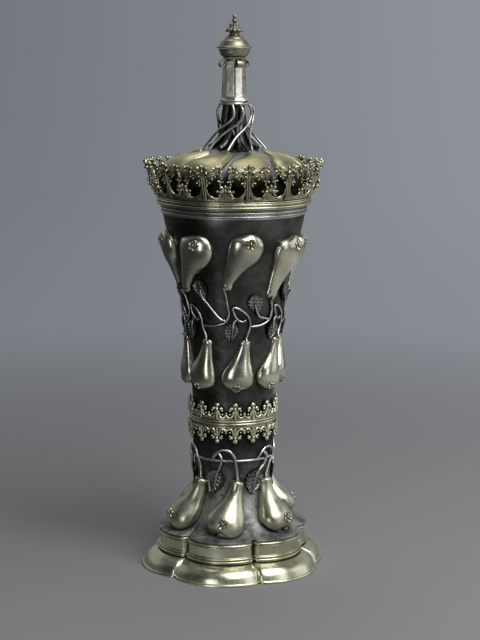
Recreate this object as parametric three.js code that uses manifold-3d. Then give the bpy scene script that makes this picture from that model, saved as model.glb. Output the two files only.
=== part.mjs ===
// Covered beaker in parcel-gilt silver: pears in relief on a flaring cup, hung on twigs.
// Millimetres, +Z up. The origin is the middle of the ground plane and the front looks to -Y.
// Angles are in degrees from the front, and grow towards +X.

import * as THREE from 'three';
import { mergeVertices } from 'three/addons/utils/BufferGeometryUtils.js';
import Module from 'manifold-3d';

const wasm = await Module();
wasm.setup();

// Clearances and facets
const SEAT_GAP = 0.3;
const BEZEL_CLEARANCE = 0.5;
const ROUND_SIDES = 30;
const KNOP_SIDES = 16;
const TWIG_SIDES = 4;
const FIRST_CUSP = 18;

// Sheet and wire
const FOOT_SHEET = 1.2;
const CUP_WALL = 1.2;
const CUP_FLOOR = 1.6;
const PEAR_SHEET = 1.0;
const TWIG_DIAMETER = 1.6;
const LEAF_SHEET = 0.8;

// Foot: six lobes, given by the radius at a lobe's tip
const FOOT_LOBES = 6;
const FLANGE_RADIUS = 61.5;
const FLANGE_HEIGHT = 10.9;
const FLANGE_RIM_WIDTH = 4.0;
const FLANGE_RIM_HEIGHT = 1.4;
const RISER_RADIUS = 49.2;
const LOWER_MOULDING_HEIGHT = 4.4;
const RISER_HEIGHT = 5.1;
const UPPER_MOULDING_HEIGHT = 3.2;
const REED_PROUD = 1.7;
const PLATE_OVERHANG = 1.4;
const STEM_RADIUS = 26.5;
const STEM_WAIST_INSET = 1.9;
const STEM_WIDENS_AT = 43.0;
const LOBE_SHARE_AT_GROUND = 0.377;
const LOBE_SHARE_AT_PLATE = 0.445;
const LOBES_FADE_OVER = 9;

// Waist, cup and lip
const WAIST_HEIGHT = 99.6;
const WAIST_RING_HEIGHT = 4.0;
const WAIST_RING_DEPTH = 2.0;
const CRESTING_PERIODS = 15;
const CRESTING_HEIGHT = 11.2;
const CRESTING_SHEET = 1.1;
const CRESTING_STAND_OFF = 0.9;
const GARLAND_BELOW_WAIST = 25.1;
const CUP_HEIGHT = 139.2;
const MOUTH_RADIUS = 46.0;
const LIP_HEIGHT = 5.8;
const LIP_DEPTH = 1.3;

// Cover and crown
const COVER_RING_HEIGHT = 5.3;
const COVER_RING_OVERHANG = 4.4;
const BEZEL_DEPTH = 9.0;
const BEZEL_WALL = 1.1;
const CROWN_PERIODS = 12;
const CROWN_PHASE = 24.5;
const CROWN_HEIGHT = 24.0;
const CROWN_FLARE = 7.4;
const CROWN_FLARE_POWER = 0.6;
const CROWN_SHEET = 1.4;
const DOME_RISE = 32.5;
const DOME_OVERHANG = 0.4;
const DOME_SHEET = 1.1;
const DOME_CROWN_INSET = 36.4;
const COVER_PEARS_RISE = 6.5;

// Finial
const TRUNK_FOOT_RADIUS = 16.8;
const TRUNK_RADIUS = 7.6;
const TRUNK_HEIGHT = 28.4;
const TRUNK_ROOTS = 5;
const PILLAR_RADIUS = 8.4;
const PILLAR_TOP_RADIUS = 7.5;
const PILLAR_HEIGHT = 25.6;
const PILLAR_TURN = 24;
const PILLAR_SIDES = 8;
const SCROLL_WIDTH = 4.2;
const KNOP_RADIUS = 11.3;
const KNOP_LOWER_HEIGHT = 6.0;
const KNOP_UPPER_HEIGHT = 9.1;
const SPIRE_HEIGHT = 11.9;
const PIN_RADIUS = 1.2;

// Pears: where they stand round each row, how each neck leans, how wide each is, how far each
// hangs below the top of its row and how far its neck stops short. The rows are hand work and
// slightly uneven.
const FOOT_PEARS = { angles: [-13, 52, 113, 169, 222, 290], lean: [20, 0, 17, 12, 2, 21] };
const LOWER_PEARS = {
  angles: [2, 47, 92, 137, 182, 227, 272, 313],
  lean: [12.5, 15, 11, 8, 10, 12, 9, 15],
};
const UPPER_PEARS = {
  angles: [13.6, 60, 103.6, 148.6, 193.6, 238.6, 283.6, 329.6],
  lean: [-22, -17.4, -16, -22, -18, -20, -24, -30],
  width: [1, 1.18, 1, 1, 1, 1, 1, 1.08],
  drop: [0, 3, 3.5, 2, 1, 1, 0.5, 1.2],
  short: [6.5, 0, 1, 0, 2, 0, 1, 3],
};
const COVER_PEARS = {
  angles: [11, 56, 101, 146, 191, 236, 281, 326],
  lean: [22, 21, 21, 21, 20, 12, 27, 23],
};
const COVER_STEM_WINDS = [63, 80, 85, 95, 76, 112, 79, 97];
const COVER_STEM_PROUD = [1.5, 0, 1.5, 0, 0, 0, 1.5, 0];

// The cup's twigs: where each forks from the lower pear's neck, and where its leaf is
const SPRIG_FORKS = [4.5, 7, 6, 5, 7, 6, 6, -5];
const SPRIG_LEAF_TURNS = [7, 3, 2, 5, 1, 4, 3, -5];
const SPRIG_LEAF_RISES = [8, 13, 11, 14, 10, 12.5, 12, 17];
const SPRIG_LEAF_LENGTH = 12;
const SPRIG_HOOK_REACH = 22;
const NECK_TO_TRUNK = 3.6;
const CALYX_RADIUS = 3.8;
const CALYX_HEIGHT = 1.5;

// Angles, outlines and seats

function radians(degrees) {
  return degrees * Math.PI / 180;
}

function polar(radius, degrees, height) {
  const turn = radians(degrees);
  return new THREE.Vector3(radius * Math.sin(turn), -radius * Math.cos(turn), height);
}

function evenAngles(count, first) {
  return Array.from({ length: count }, (_, index) => first + index * 360 / count);
}

// The turn from one direction to another, between -180 and 180
function turnBetween(from, to) {
  return THREE.MathUtils.euclideanModulo(to - from + 180, 360) - 180;
}

// The point, outward normal and upward tangent at a distance along a wall's profile
function seatAt(profile, distance) {
  const pointAlong = (target) => {
    let left = Math.max(target, 0);
    for (let i = 1; i < profile.length; i++) {
      const from = new THREE.Vector2(...profile[i - 1]);
      const to = new THREE.Vector2(...profile[i]);
      const span = from.distanceTo(to);
      if (left <= span || i === profile.length - 1) {
        return from.lerp(to, left / span);
      }
      left -= span;
    }
    return null;
  };
  const reach = 2;
  const tangent = pointAlong(distance + reach).sub(pointAlong(distance - reach)).normalize();
  const normal = new THREE.Vector2(tangent.y, -tangent.x);
  return { point: pointAlong(distance), normal, tangent };
}

// The distance along a profile at which one coordinate, radius 0 or height 1, has a value
function distanceWhere(profile, axis, value) {
  let walked = 0;
  for (let i = 1; i < profile.length; i++) {
    const from = profile[i - 1];
    const to = profile[i];
    const span = Math.hypot(to[0] - from[0], to[1] - from[1]);
    const share = (value - from[axis]) / (to[axis] - from[axis]);
    if (share >= 0 && share <= 1) {
      return walked + share * span;
    }
    walked += span;
  }
  return walked;
}

// A point over a wall of revolution, lifted from it along its normal
function overWall(profile, distance, degrees, lift) {
  const seat = seatAt(profile, distance);
  const lifted = seat.point.addScaledVector(seat.normal, lift);
  return polar(lifted.x, degrees, lifted.y);
}

// A profile moved along its own normals, outwards for a positive offset
function offsetProfile(profile, offset) {
  return profile.map(([radius, height], index) => {
    const before = profile[Math.max(index - 1, 0)];
    const after = profile[Math.min(index + 1, profile.length - 1)];
    const along = new THREE.Vector2(after[0] - before[0], after[1] - before[1]).normalize();
    return [Math.max(radius + along.y * offset, 0), height - along.x * offset];
  });
}

// Closed geometry

// Merged vertices, no empty triangles, and faces that point out
function closedGeometry(geometry) {
  const bare = geometry.clone();
  bare.deleteAttribute('normal');
  bare.deleteAttribute('uv');
  const merged = mergeVertices(bare, 1e-3);
  const position = merged.attributes.position;
  const kept = [];
  let volume = 0;
  for (let i = 0; i < merged.index.count; i += 3) {
    const corners = [0, 1, 2].map((k) => merged.index.getX(i + k));
    if (new Set(corners).size === 3) {
      kept.push(corners);
      const [a, b, c] = corners.map((corner) => new THREE.Vector3().fromBufferAttribute(position, corner));
      volume += a.dot(b.cross(c));
    }
  }
  merged.setIndex(kept.flatMap(([a, b, c]) => (volume < 0 ? [a, c, b] : [a, b, c])));
  return merged;
}

function toSolid(geometry) {
  const closed = closedGeometry(geometry);
  const vertProperties = new Float32Array(closed.attributes.position.array);
  const triVerts = new Uint32Array(closed.index.array);
  return new wasm.Manifold(new wasm.Mesh({ numProp: 3, vertProperties, triVerts }));
}

function toGeometry(solid) {
  const mesh = solid.getMesh();
  const geometry = new THREE.BufferGeometry();
  geometry.setAttribute('position', new THREE.BufferAttribute(mesh.vertProperties, 3));
  geometry.setIndex(Array.from(mesh.triVerts));
  return geometry;
}

function join(geometries) {
  return toGeometry(geometries.map(toSolid).reduce((whole, next) => whole.add(next)));
}

// A wall of revolution from a profile of [radius, height] points, standing along +Z
function turned(profile, sides = ROUND_SIDES, firstAngle = FIRST_CUSP) {
  const points = profile.map(([radius, height]) => new THREE.Vector2(radius, height));
  const lathe = new THREE.LatheGeometry(points, sides, radians(firstAngle));
  return lathe.rotateX(Math.PI / 2);
}

function ringOf(profile) {
  return [...profile, profile[0]];
}

function mapVertices(geometry, change) {
  const position = geometry.attributes.position;
  const point = new THREE.Vector3();
  for (let i = 0; i < position.count; i++) {
    point.fromBufferAttribute(position, i);
    change(point);
    position.setXYZ(i, point.x, point.y, point.z);
  }
  return geometry;
}

// The foot's plan is six overlapping circles; share is the circles' own offset from the axis
function lobeShareAt(height) {
  const plate = FOOT.plateBottom;
  const rise = THREE.MathUtils.clamp(height / plate, 0, 1);
  const fade = THREE.MathUtils.clamp(1 - (height - plate - 1) / LOBES_FADE_OVER, 0, 1);
  return THREE.MathUtils.lerp(LOBE_SHARE_AT_GROUND, LOBE_SHARE_AT_PLATE, rise) * fade;
}

function lobed(geometry) {
  const period = 2 * Math.PI / FOOT_LOBES;
  return mapVertices(geometry, (point) => {
    const angle = Math.atan2(point.x, -point.y) - radians(FIRST_CUSP);
    const fromTip = THREE.MathUtils.euclideanModulo(angle, period) - period / 2;
    const share = lobeShareAt(point.z);
    const across = share * Math.sin(fromTip);
    const stretch = share * Math.cos(fromTip) + Math.sqrt((1 - share) ** 2 - across ** 2);
    point.x *= stretch;
    point.y *= stretch;
  });
}

// A round wire along a smooth path
function wireAlong(points, diameter, steps) {
  const section = new THREE.Shape(evenAngles(TWIG_SIDES, 0).map((degrees) => {
    const turn = radians(degrees);
    return new THREE.Vector2(Math.cos(turn), Math.sin(turn)).multiplyScalar(diameter / 2);
  }));
  const path = new THREE.CatmullRomCurve3(points);
  return new THREE.ExtrudeGeometry(section, { steps, bevelEnabled: false, extrudePath: path });
}

// Heights of the stacked foot, each worked out from the piece below it
function footHeights() {
  const lowerMoulding = FLANGE_HEIGHT + SEAT_GAP;
  const riser = lowerMoulding + LOWER_MOULDING_HEIGHT + SEAT_GAP;
  const upperMoulding = riser + RISER_HEIGHT + SEAT_GAP;
  const plateBottom = upperMoulding + UPPER_MOULDING_HEIGHT + SEAT_GAP;
  return { lowerMoulding, riser, upperMoulding, plateBottom };
}

const FOOT = footHeights();
const PLATE_RADIUS = RISER_RADIUS + PLATE_OVERHANG;
const GARLAND_HEIGHT = WAIST_HEIGHT - GARLAND_BELOW_WAIST;

// Outer profile of the foot's silver sheet, from the plate's edge up to the waist
const FOOT_WALL = [
  [PLATE_RADIUS, FOOT.plateBottom],
  [PLATE_RADIUS, FOOT.plateBottom + 1.0],
  [PLATE_RADIUS - 6.2, FOOT.plateBottom + 2.2],
  [STEM_RADIUS + 12.0, FOOT.plateBottom + 4.8],
  [STEM_RADIUS + 7.0, FOOT.plateBottom + 8.8],
  [STEM_RADIUS + 3.1, FOOT.plateBottom + 14.7],
  [STEM_RADIUS + 0.2, FOOT.plateBottom + 22.0],
  [STEM_RADIUS - STEM_WAIST_INSET, FOOT.plateBottom + 32.0],
  [STEM_RADIUS - 1.2, FOOT.plateBottom + STEM_WIDENS_AT],
  [STEM_RADIUS, WAIST_HEIGHT - 18],
  [STEM_RADIUS, WAIST_HEIGHT],
];

// The cup's flare from stem to mouth: share of the widening, and share of the cup's height
const CUP_FLARE = [
  [0.005, 0],
  [0.026, 0.118],
  [0.097, 0.218],
  [0.19, 0.362],
  [0.313, 0.505],
  [0.431, 0.614],
  [0.579, 0.721],
  [0.754, 0.815],
  [0.918, 0.901],
  [1, 0.958],
  [1, 1],
];

// Outer profile of the cup's wall, from the waist up to the mouth
const CUP_BOTTOM = WAIST_HEIGHT + SEAT_GAP;
const CUP_TOP = CUP_BOTTOM + CUP_HEIGHT;
const CUP_PROFILE = CUP_FLARE.map(([widening, rise]) => {
  return [THREE.MathUtils.lerp(STEM_RADIUS, MOUTH_RADIUS, widening), cupHeight(rise)];
});

function cupHeight(share) {
  return CUP_BOTTOM + CUP_HEIGHT * share;
}

const LIP_BOTTOM = CUP_TOP + SEAT_GAP - LIP_HEIGHT;
const COVER_BOTTOM = CUP_TOP + 2 * SEAT_GAP;
const CROWN_BOTTOM = COVER_BOTTOM + COVER_RING_HEIGHT + SEAT_GAP;
const BEZEL_RADIUS = MOUTH_RADIUS - CUP_WALL - BEZEL_CLEARANCE;
const COVER_RING_RADIUS = MOUTH_RADIUS + COVER_RING_OVERHANG;
const CROWN_RADIUS = COVER_RING_RADIUS - 0.4;
const DOME_RADIUS = MOUTH_RADIUS + DOME_OVERHANG;
const PEAR_NECK_RADIUS = TRUNK_FOOT_RADIUS + NECK_TO_TRUNK;

// Outer profile of the cover's silver ground, from the ring up to the middle
const DOME_PROFILE = [
  [DOME_RADIUS, CROWN_BOTTOM],
  [DOME_RADIUS - 0.3, CROWN_BOTTOM + DOME_RISE * 0.19],
  [DOME_RADIUS - 1.9, CROWN_BOTTOM + DOME_RISE * 0.38],
  [DOME_RADIUS - 5.0, CROWN_BOTTOM + DOME_RISE * 0.53],
  [DOME_RADIUS - 9.8, CROWN_BOTTOM + DOME_RISE * 0.65],
  [DOME_RADIUS - 16.4, CROWN_BOTTOM + DOME_RISE * 0.75],
  [DOME_RADIUS - 24.4, CROWN_BOTTOM + DOME_RISE * 0.84],
  [DOME_RADIUS - DOME_CROWN_INSET, CROWN_BOTTOM + DOME_RISE * 0.95],
  [0, CROWN_BOTTOM + DOME_RISE],
];

// Heights of the finial, each worked out from the piece below it
function finialHeights() {
  const dome = seatAt(DOME_PROFILE, distanceWhere(DOME_PROFILE, 0, TRUNK_FOOT_RADIUS));
  const trunk = dome.point.y + 2 * SEAT_GAP;
  const collar = trunk + TRUNK_HEIGHT;
  const pillar = collar + 1.6 + SEAT_GAP;
  const cap = pillar + PILLAR_HEIGHT + SEAT_GAP;
  const knopLower = cap + 1.2 + SEAT_GAP;
  const knopUpper = knopLower + KNOP_LOWER_HEIGHT + SEAT_GAP;
  const spire = knopUpper + KNOP_UPPER_HEIGHT + SEAT_GAP;
  return { trunk, collar, pillar, cap, knopLower, knopUpper, spire };
}

const FINIAL = finialHeights();

// Foot pieces

function footFlange() {
  const rim = FLANGE_RADIUS;
  const top = FLANGE_HEIGHT;
  const outside = [
    [rim, 0],
    [rim, FLANGE_RIM_HEIGHT],
    [rim - 1.2, FLANGE_RIM_HEIGHT + 0.4],
    [rim - 2.2, 5.4],
    [rim - 5.6, 8.8],
    [RISER_RADIUS + 1.9, top],
  ];
  const inside = [
    [RISER_RADIUS - 1.0, top],
    [RISER_RADIUS - 0.8, top - FOOT_SHEET],
    [rim - 6.6, 8.8 - FOOT_SHEET],
    [rim - 3.6, 4.8],
    [rim - FLANGE_RIM_WIDTH, 0],
  ];
  return lobed(turned(ringOf([...outside, ...inside])));
}

function lowerMoulding() {
  const bottom = FOOT.lowerMoulding;
  const top = bottom + LOWER_MOULDING_HEIGHT;
  return lobed(turned(ringOf([
    [RISER_RADIUS + 0.6, bottom],
    [RISER_RADIUS + REED_PROUD, bottom + 1.2],
    [RISER_RADIUS + 0.5, bottom + 2.3],
    [RISER_RADIUS + REED_PROUD - 0.5, bottom + 3.3],
    [RISER_RADIUS, top],
    [RISER_RADIUS - 1.6, top],
    [RISER_RADIUS - 1.6, bottom],
  ])));
}

function riser() {
  const top = FOOT.riser + RISER_HEIGHT;
  return lobed(turned(ringOf([
    [RISER_RADIUS, FOOT.riser],
    [RISER_RADIUS, top],
    [RISER_RADIUS - FOOT_SHEET, top],
    [RISER_RADIUS - FOOT_SHEET, FOOT.riser],
  ])));
}

function upperMoulding() {
  const bottom = FOOT.upperMoulding;
  const top = bottom + UPPER_MOULDING_HEIGHT;
  return lobed(turned(ringOf([
    [RISER_RADIUS, bottom],
    [RISER_RADIUS + 0.8, bottom + 0.8],
    [RISER_RADIUS + 0.3, bottom + 1.3],
    [RISER_RADIUS + REED_PROUD, bottom + 2.2],
    [RISER_RADIUS + 0.8, top],
    [RISER_RADIUS - 1.6, top],
    [RISER_RADIUS - 1.6, bottom],
  ])));
}

function footTrumpet() {
  const inner = offsetProfile(FOOT_WALL.slice(2), -FOOT_SHEET).reverse();
  inner[0][1] = WAIST_HEIGHT;
  inner.push([PLATE_RADIUS - 2.4, FOOT.plateBottom]);
  return lobed(turned(ringOf([...FOOT_WALL, ...inner])));
}

// Pears

// One station of a pear: its place along the wall's profile, its angle round the axis, the
// reach of its ridge from the wall in radius and height, and half its width
function pearFrames(profile, stations) {
  const seats = stations.map((station) => overWall(profile, station.distance, station.angle, 0));
  return stations.map((station, index) => {
    const before = seats[Math.max(index - 1, 0)];
    const after = seats[Math.min(index + 1, seats.length - 1)];
    const along = after.clone().sub(before).normalize();
    const up = polar(station.reach.x, station.angle, station.reach.y);
    const height = up.length();
    up.normalize();
    const across = along.clone().cross(up).normalize();
    return { station, seat: seats[index], along, across, up, height };
  });
}

// The wall's own point beside a station, so that the pear's edge follows the wall
function besideWall(profile, frame, sideways, edgeLift) {
  const { station, seat, across } = frame;
  const flat = seat.clone().addScaledVector(across, sideways);
  const angle = Math.atan2(flat.x, -flat.y) * 180 / Math.PI;
  const { tangent } = seatAt(profile, station.distance);
  const uphill = polar(tangent.x, station.angle, tangent.y);
  const distance = station.distance + sideways * across.dot(uphill);
  return overWall(profile, distance, angle, edgeLift);
}

function pearRow(profile, frame, section, segments, sheet) {
  const width = frame.station.halfWidth - sheet;
  const height = frame.height - sheet;
  const bend = Math.cos(radians(section.halfAngle));
  const middle = height * -bend / (1 - bend);
  return Array.from({ length: segments + 1 }, (_, index) => {
    const turn = radians(section.halfAngle * (2 * index / segments - 1));
    const sideways = width * Math.sin(turn);
    if (index === 0 || index === segments) {
      return besideWall(profile, frame, sideways, section.edgeLift);
    }
    const raised = middle + (height - middle) * Math.cos(turn);
    return frame.seat.clone().addScaledVector(frame.across, sideways).addScaledVector(frame.up, raised);
  });
}

// A raised sheet pear: an outer skin, a plainer inner skin and the edge that joins them
function pearShell(profile, stations, section) {
  const frames = pearFrames(profile, stations);
  const body = frames.slice(1, -1);
  const points = [];
  const faces = [];
  const addSkin = (segments, sheet) => {
    const ends = [frames[0], frames[frames.length - 1]].map((frame, index) => {
      const inward = frame.along.clone().multiplyScalar(sheet * (index ? -1 : 1));
      const tip = overWall(profile, frame.station.distance, frame.station.angle, section.edgeLift);
      points.push(tip.add(inward));
      return points.length - 1;
    });
    const rows = body.map((frame) => {
      const row = pearRow(profile, frame, section, segments, sheet);
      return row.map((point) => points.push(point) - 1);
    });
    const flip = sheet > 0;
    const addFace = (a, b, c) => faces.push(flip ? [a, c, b] : [a, b, c]);
    for (let i = 0; i < segments; i++) {
      addFace(ends[0], rows[0][i], rows[0][i + 1]);
      addFace(ends[1], rows[rows.length - 1][i + 1], rows[rows.length - 1][i]);
      for (let j = 1; j < rows.length; j++) {
        addFace(rows[j - 1][i], rows[j][i], rows[j][i + 1]);
        addFace(rows[j - 1][i], rows[j][i + 1], rows[j - 1][i + 1]);
      }
    }
    const firstEdge = rows.map((row) => row[0]);
    const lastEdge = rows.map((row) => row[segments]).reverse();
    return [ends[0], ...firstEdge, ends[1], ...lastEdge];
  };
  const outerEdge = addSkin(section.segments, 0);
  const innerEdge = addSkin(2, PEAR_SHEET);
  outerEdge.forEach((corner, index) => {
    const next = (index + 1) % outerEdge.length;
    faces.push([corner, innerEdge[next], outerEdge[next]]);
    faces.push([corner, innerEdge[index], innerEdge[next]]);
  });
  const geometry = new THREE.BufferGeometry().setFromPoints(points);
  geometry.setIndex(faces.flat());
  return { geometry: closedGeometry(geometry), frames };
}

// The five-pointed calyx at a pear's blossom end, its foot sunk into the sheet
function calyx(place, direction) {
  const star = new THREE.Shape();
  const tips = 5;
  for (let i = 0; i < 2 * tips; i++) {
    const radius = i % 2 ? CALYX_RADIUS * 0.45 : CALYX_RADIUS;
    const turn = Math.PI * i / tips;
    star[i ? 'lineTo' : 'moveTo'](radius * Math.cos(turn), radius * Math.sin(turn));
  }
  star.closePath();
  const geometry = new THREE.ExtrudeGeometry(star, { depth: CALYX_HEIGHT, bevelEnabled: false });
  const turn = new THREE.Quaternion().setFromUnitVectors(new THREE.Vector3(0, 0, 1), direction);
  const sunk = place.clone().addScaledVector(direction, PEAR_SHEET * -0.6);
  return geometry.applyQuaternion(turn).translate(sunk.x, sunk.y, sunk.z);
}

// A calyx on the ridge between two stations, facing away from the sheet
function calyxOnRidge(frames, index, share) {
  const ridges = frames.map(({ seat, up, height }) => seat.clone().addScaledVector(up, height));
  const place = ridges[index].clone().lerp(ridges[index + 1], share);
  const along = ridges[index + 1].clone().sub(ridges[index]).normalize();
  const direction = frames[index].across.clone().cross(along).normalize();
  return calyx(place, direction.dot(frames[index].up) < 0 ? direction.negate() : direction);
}

// Foot pears lie on the slope. Each station has, in shares of the pear's sizes, the height above
// the plate at which it meets the wall, how far its ridge stands out from the stem and above
// that height, and half its width.
const FOOT_PEAR_TOP = 36.4;
const FOOT_PEAR_OUT = (RISER_RADIUS - STEM_RADIUS) * 0.85;
const FOOT_PEAR_LIFT = 4.2;
const FOOT_PEAR_HALF_WIDTH = 12.4;
const FOOT_PEAR_STATIONS = [
  { rise: 0.077, out: 0.751, lift: 0.1, width: 0 },
  { rise: 0.099, out: 0.917, lift: 0.48, width: 0.617 },
  { rise: 0.159, out: 1, lift: 0.71, width: 0.917 },
  { rise: 0.264, out: 0.959, lift: 1, width: 1 },
  { rise: 0.434, out: 0.71, lift: 0.9, width: 0.8 },
  { rise: 0.665, out: 0.368, lift: 0.52, width: 0.467 },
  { rise: 0.945, out: 0.212, lift: 0.14, width: 0.33 },
  { rise: 1, out: 0.005, lift: 0.05, width: 0 },
];

function footPear(angle, lean) {
  const lowest = FOOT_PEAR_STATIONS[0].rise;
  const stations = FOOT_PEAR_STATIONS.map((row) => {
    const height = FOOT.plateBottom + row.rise * FOOT_PEAR_TOP;
    const distance = distanceWhere(FOOT_WALL.slice(1), 1, height);
    const { point } = seatAt(FOOT_WALL.slice(1), distance);
    const share = (row.rise - lowest) / (1 - lowest);
    const out = STEM_RADIUS + row.out * FOOT_PEAR_OUT - point.x;
    return {
      distance,
      angle: angle + lean * share ** 0.8,
      reach: { x: out, y: row.lift * FOOT_PEAR_LIFT },
      halfWidth: row.width * FOOT_PEAR_HALF_WIDTH,
    };
  });
  const section = { halfAngle: 112, segments: 8, edgeLift: SEAT_GAP };
  const { geometry, frames } = pearShell(FOOT_WALL.slice(1), stations, section);
  return join([geometry, calyxOnRidge(frames, 2, 0.55)]);
}

// Relief pears on a wall: how far along from the bulb's end to the neck's, relief and half width
const RELIEF_STATIONS = [
  { share: 0.0, relief: 0.4, halfWidth: 0 },
  { share: 0.07, relief: 0.62, halfWidth: 0.62 },
  { share: 0.2, relief: 1.0, halfWidth: 0.97 },
  { share: 0.38, relief: 0.94, halfWidth: 0.92 },
  { share: 0.66, relief: 0.56, halfWidth: 0.5 },
  { share: 0.96, relief: 0.36, halfWidth: 0.27 },
  { share: 1.0, relief: 0.2, halfWidth: 0 },
];

// A pear in relief from one distance along the profile to another, its neck turned by lean
function reliefPear(profile, angle, lean, size) {
  const stations = RELIEF_STATIONS.map((row) => {
    const distance = THREE.MathUtils.lerp(size.bulbEnd, size.neckEnd, row.share);
    const { normal } = seatAt(profile, distance);
    const reach = normal.clone().multiplyScalar(row.relief * size.relief);
    const turn = angle + lean * THREE.MathUtils.smoothstep(row.share, size.bendFrom, 1.1);
    return { distance, angle: turn, reach, halfWidth: row.halfWidth * size.halfWidth };
  });
  const section = { halfAngle: 90, segments: 6, edgeLift: SEAT_GAP + size.edgeRise };
  return pearShell(profile, stations, section);
}

const UPPER_PEAR_SIZE = {
  bulbEnd: distanceWhere(CUP_PROFILE, 1, cupHeight(0.897)),
  neckEnd: distanceWhere(CUP_PROFILE, 1, cupHeight(0.586)),
  relief: 6.6,
  halfWidth: 11.2,
  bendFrom: 0.0,
  edgeRise: 0,
};
const LOWER_PEAR_SIZE = {
  bulbEnd: distanceWhere(CUP_PROFILE, 1, cupHeight(0.151)),
  neckEnd: distanceWhere(CUP_PROFILE, 1, cupHeight(0.396)),
  relief: 6.2,
  halfWidth: 10.4,
  bendFrom: -0.2,
  edgeRise: 0,
};
const COVER_PEAR_SIZE = {
  bulbEnd: distanceWhere(DOME_PROFILE, 1, CROWN_BOTTOM + COVER_PEARS_RISE),
  neckEnd: distanceWhere(DOME_PROFILE, 0, PEAR_NECK_RADIUS),
  relief: 4.8,
  halfWidth: 14.0,
  bendFrom: 0.1,
  edgeRise: 0.9,
};

function upperPear(angle, index) {
  const bulbEnd = UPPER_PEAR_SIZE.bulbEnd - UPPER_PEARS.drop[index];
  const neckEnd = UPPER_PEAR_SIZE.neckEnd + UPPER_PEARS.short[index];
  const halfWidth = UPPER_PEAR_SIZE.halfWidth * UPPER_PEARS.width[index];
  const size = { ...UPPER_PEAR_SIZE, bulbEnd, neckEnd, halfWidth };
  const { geometry, frames } = reliefPear(CUP_PROFILE, angle, UPPER_PEARS.lean[index], size);
  return join([geometry, calyxOnRidge(frames, 1, 0.7)]);
}

function lowerPear(angle, lean) {
  const { geometry, frames } = reliefPear(CUP_PROFILE, angle, lean, LOWER_PEAR_SIZE);
  return join([geometry, calyxOnRidge(frames, 0, 0.75)]);
}

function coverPear(angle, lean) {
  return reliefPear(DOME_PROFILE, angle, lean, COVER_PEAR_SIZE).geometry;
}

// Twigs and leaves

// A route over a wall, given as [degrees, height] or [degrees, height, lift] points
function twigOver(profile, route, angle, steps) {
  const rest = SEAT_GAP + TWIG_DIAMETER / 2;
  const points = route.map(([degrees, height, lift = 0]) => {
    return overWall(profile, distanceWhere(profile, 1, height), angle + degrees, rest + lift);
  });
  return wireAlong(points, TWIG_DIAMETER, steps);
}

// A pointed, toothed leaf laid on a wall with its stalk end up
function leafOver(profile, place) {
  const lean = radians(place.lean);
  const top = distanceWhere(profile, 1, place.height);
  const widths = [0.1, 0.8, 0.66, 0.98, 0.04];
  const stations = widths.length - 1;
  const points = [];
  const faces = [];
  const addPoint = (along, across, lift) => {
    const distance = top - along * Math.cos(lean) + across * Math.sin(lean);
    const sideways = along * Math.sin(lean) + across * Math.cos(lean);
    const { point } = seatAt(profile, distance);
    const degrees = place.angle + sideways / point.x * 180 / Math.PI;
    points.push(overWall(profile, distance, degrees, SEAT_GAP + lift));
    return points.length - 1;
  };
  const rows = widths.map((share, index) => {
    const along = place.length * index / stations;
    const half = place.width / 2 * share;
    const under = [-half, 0, half].map((across) => addPoint(along, across, 0.1));
    const over = [-half, 0, half].map((across) => addPoint(along, across, LEAF_SHEET));
    return [...under, ...over.reverse()];
  });
  const around = rows[0].length;
  for (let i = 0; i < stations; i++) {
    for (let j = 0; j < around; j++) {
      const next = (j + 1) % around;
      faces.push([rows[i][j], rows[i + 1][j], rows[i + 1][next]]);
      faces.push([rows[i][j], rows[i + 1][next], rows[i][next]]);
    }
  }
  for (const [row, turned] of [[rows[0], false], [rows[stations], true]]) {
    for (const [a, b, c] of [[0, 1, 4], [0, 4, 5], [1, 2, 3], [1, 3, 4]]) {
      faces.push(turned ? [row[a], row[c], row[b]] : [row[a], row[b], row[c]]);
    }
  }
  const geometry = new THREE.BufferGeometry().setFromPoints(points);
  geometry.setIndex(faces.flat());
  return closedGeometry(geometry);
}

// The ring round the stem, and for each pear a hooked stem, a leaf stalk and a leaf
function footGarland() {
  const wall = FOOT_WALL;
  const { point } = seatAt(wall, distanceWhere(wall, 1, GARLAND_HEIGHT));
  const ringRadius = point.x + SEAT_GAP + TWIG_DIAMETER / 2;
  const ring = new THREE.TorusGeometry(ringRadius, TWIG_DIAMETER / 2, TWIG_SIDES, ROUND_SIDES);
  const pieces = [ring.rotateZ(radians(FIRST_CUSP - 90)).translate(0, 0, GARLAND_HEIGHT)];
  FOOT_PEARS.angles.forEach((angle, index) => {
    const lean = FOOT_PEARS.lean[index];
    const leafTurn = lean * 0.3 - 16;
    const stem = [
      [lean, FOOT.plateBottom + FOOT_PEAR_TOP + 1.0, 1.2],
      [lean * 0.6 + 6, GARLAND_HEIGHT - 5.5, 0.6],
      [15, GARLAND_HEIGHT + 2.5, 1.2],
      [8, GARLAND_HEIGHT + 6.7, 0.6],
      [-1, GARLAND_HEIGHT + 7.3, 0.3],
      [-9.5, GARLAND_HEIGHT + 4.7, 0.2],
      [-16.5, GARLAND_HEIGHT + 0.4, 0.1],
    ];
    const stalk = [
      [-7.5, GARLAND_HEIGHT + 5.3, 0.2],
      [-2, GARLAND_HEIGHT + 2.1, 1.3],
      [-4, GARLAND_HEIGHT - 2.9, 0.7],
      [leafTurn, GARLAND_HEIGHT - 10.9, 0.3],
    ];
    const leafTop = GARLAND_HEIGHT - 9.2;
    const leaf = { angle: angle + leafTurn, height: leafTop, length: 14, width: 10.2, lean: -14 };
    pieces.push(twigOver(wall, stem, angle, 10));
    pieces.push(twigOver(wall, stalk, angle, 5));
    pieces.push(leafOver(wall, leaf));
  });
  return join(pieces);
}

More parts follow.
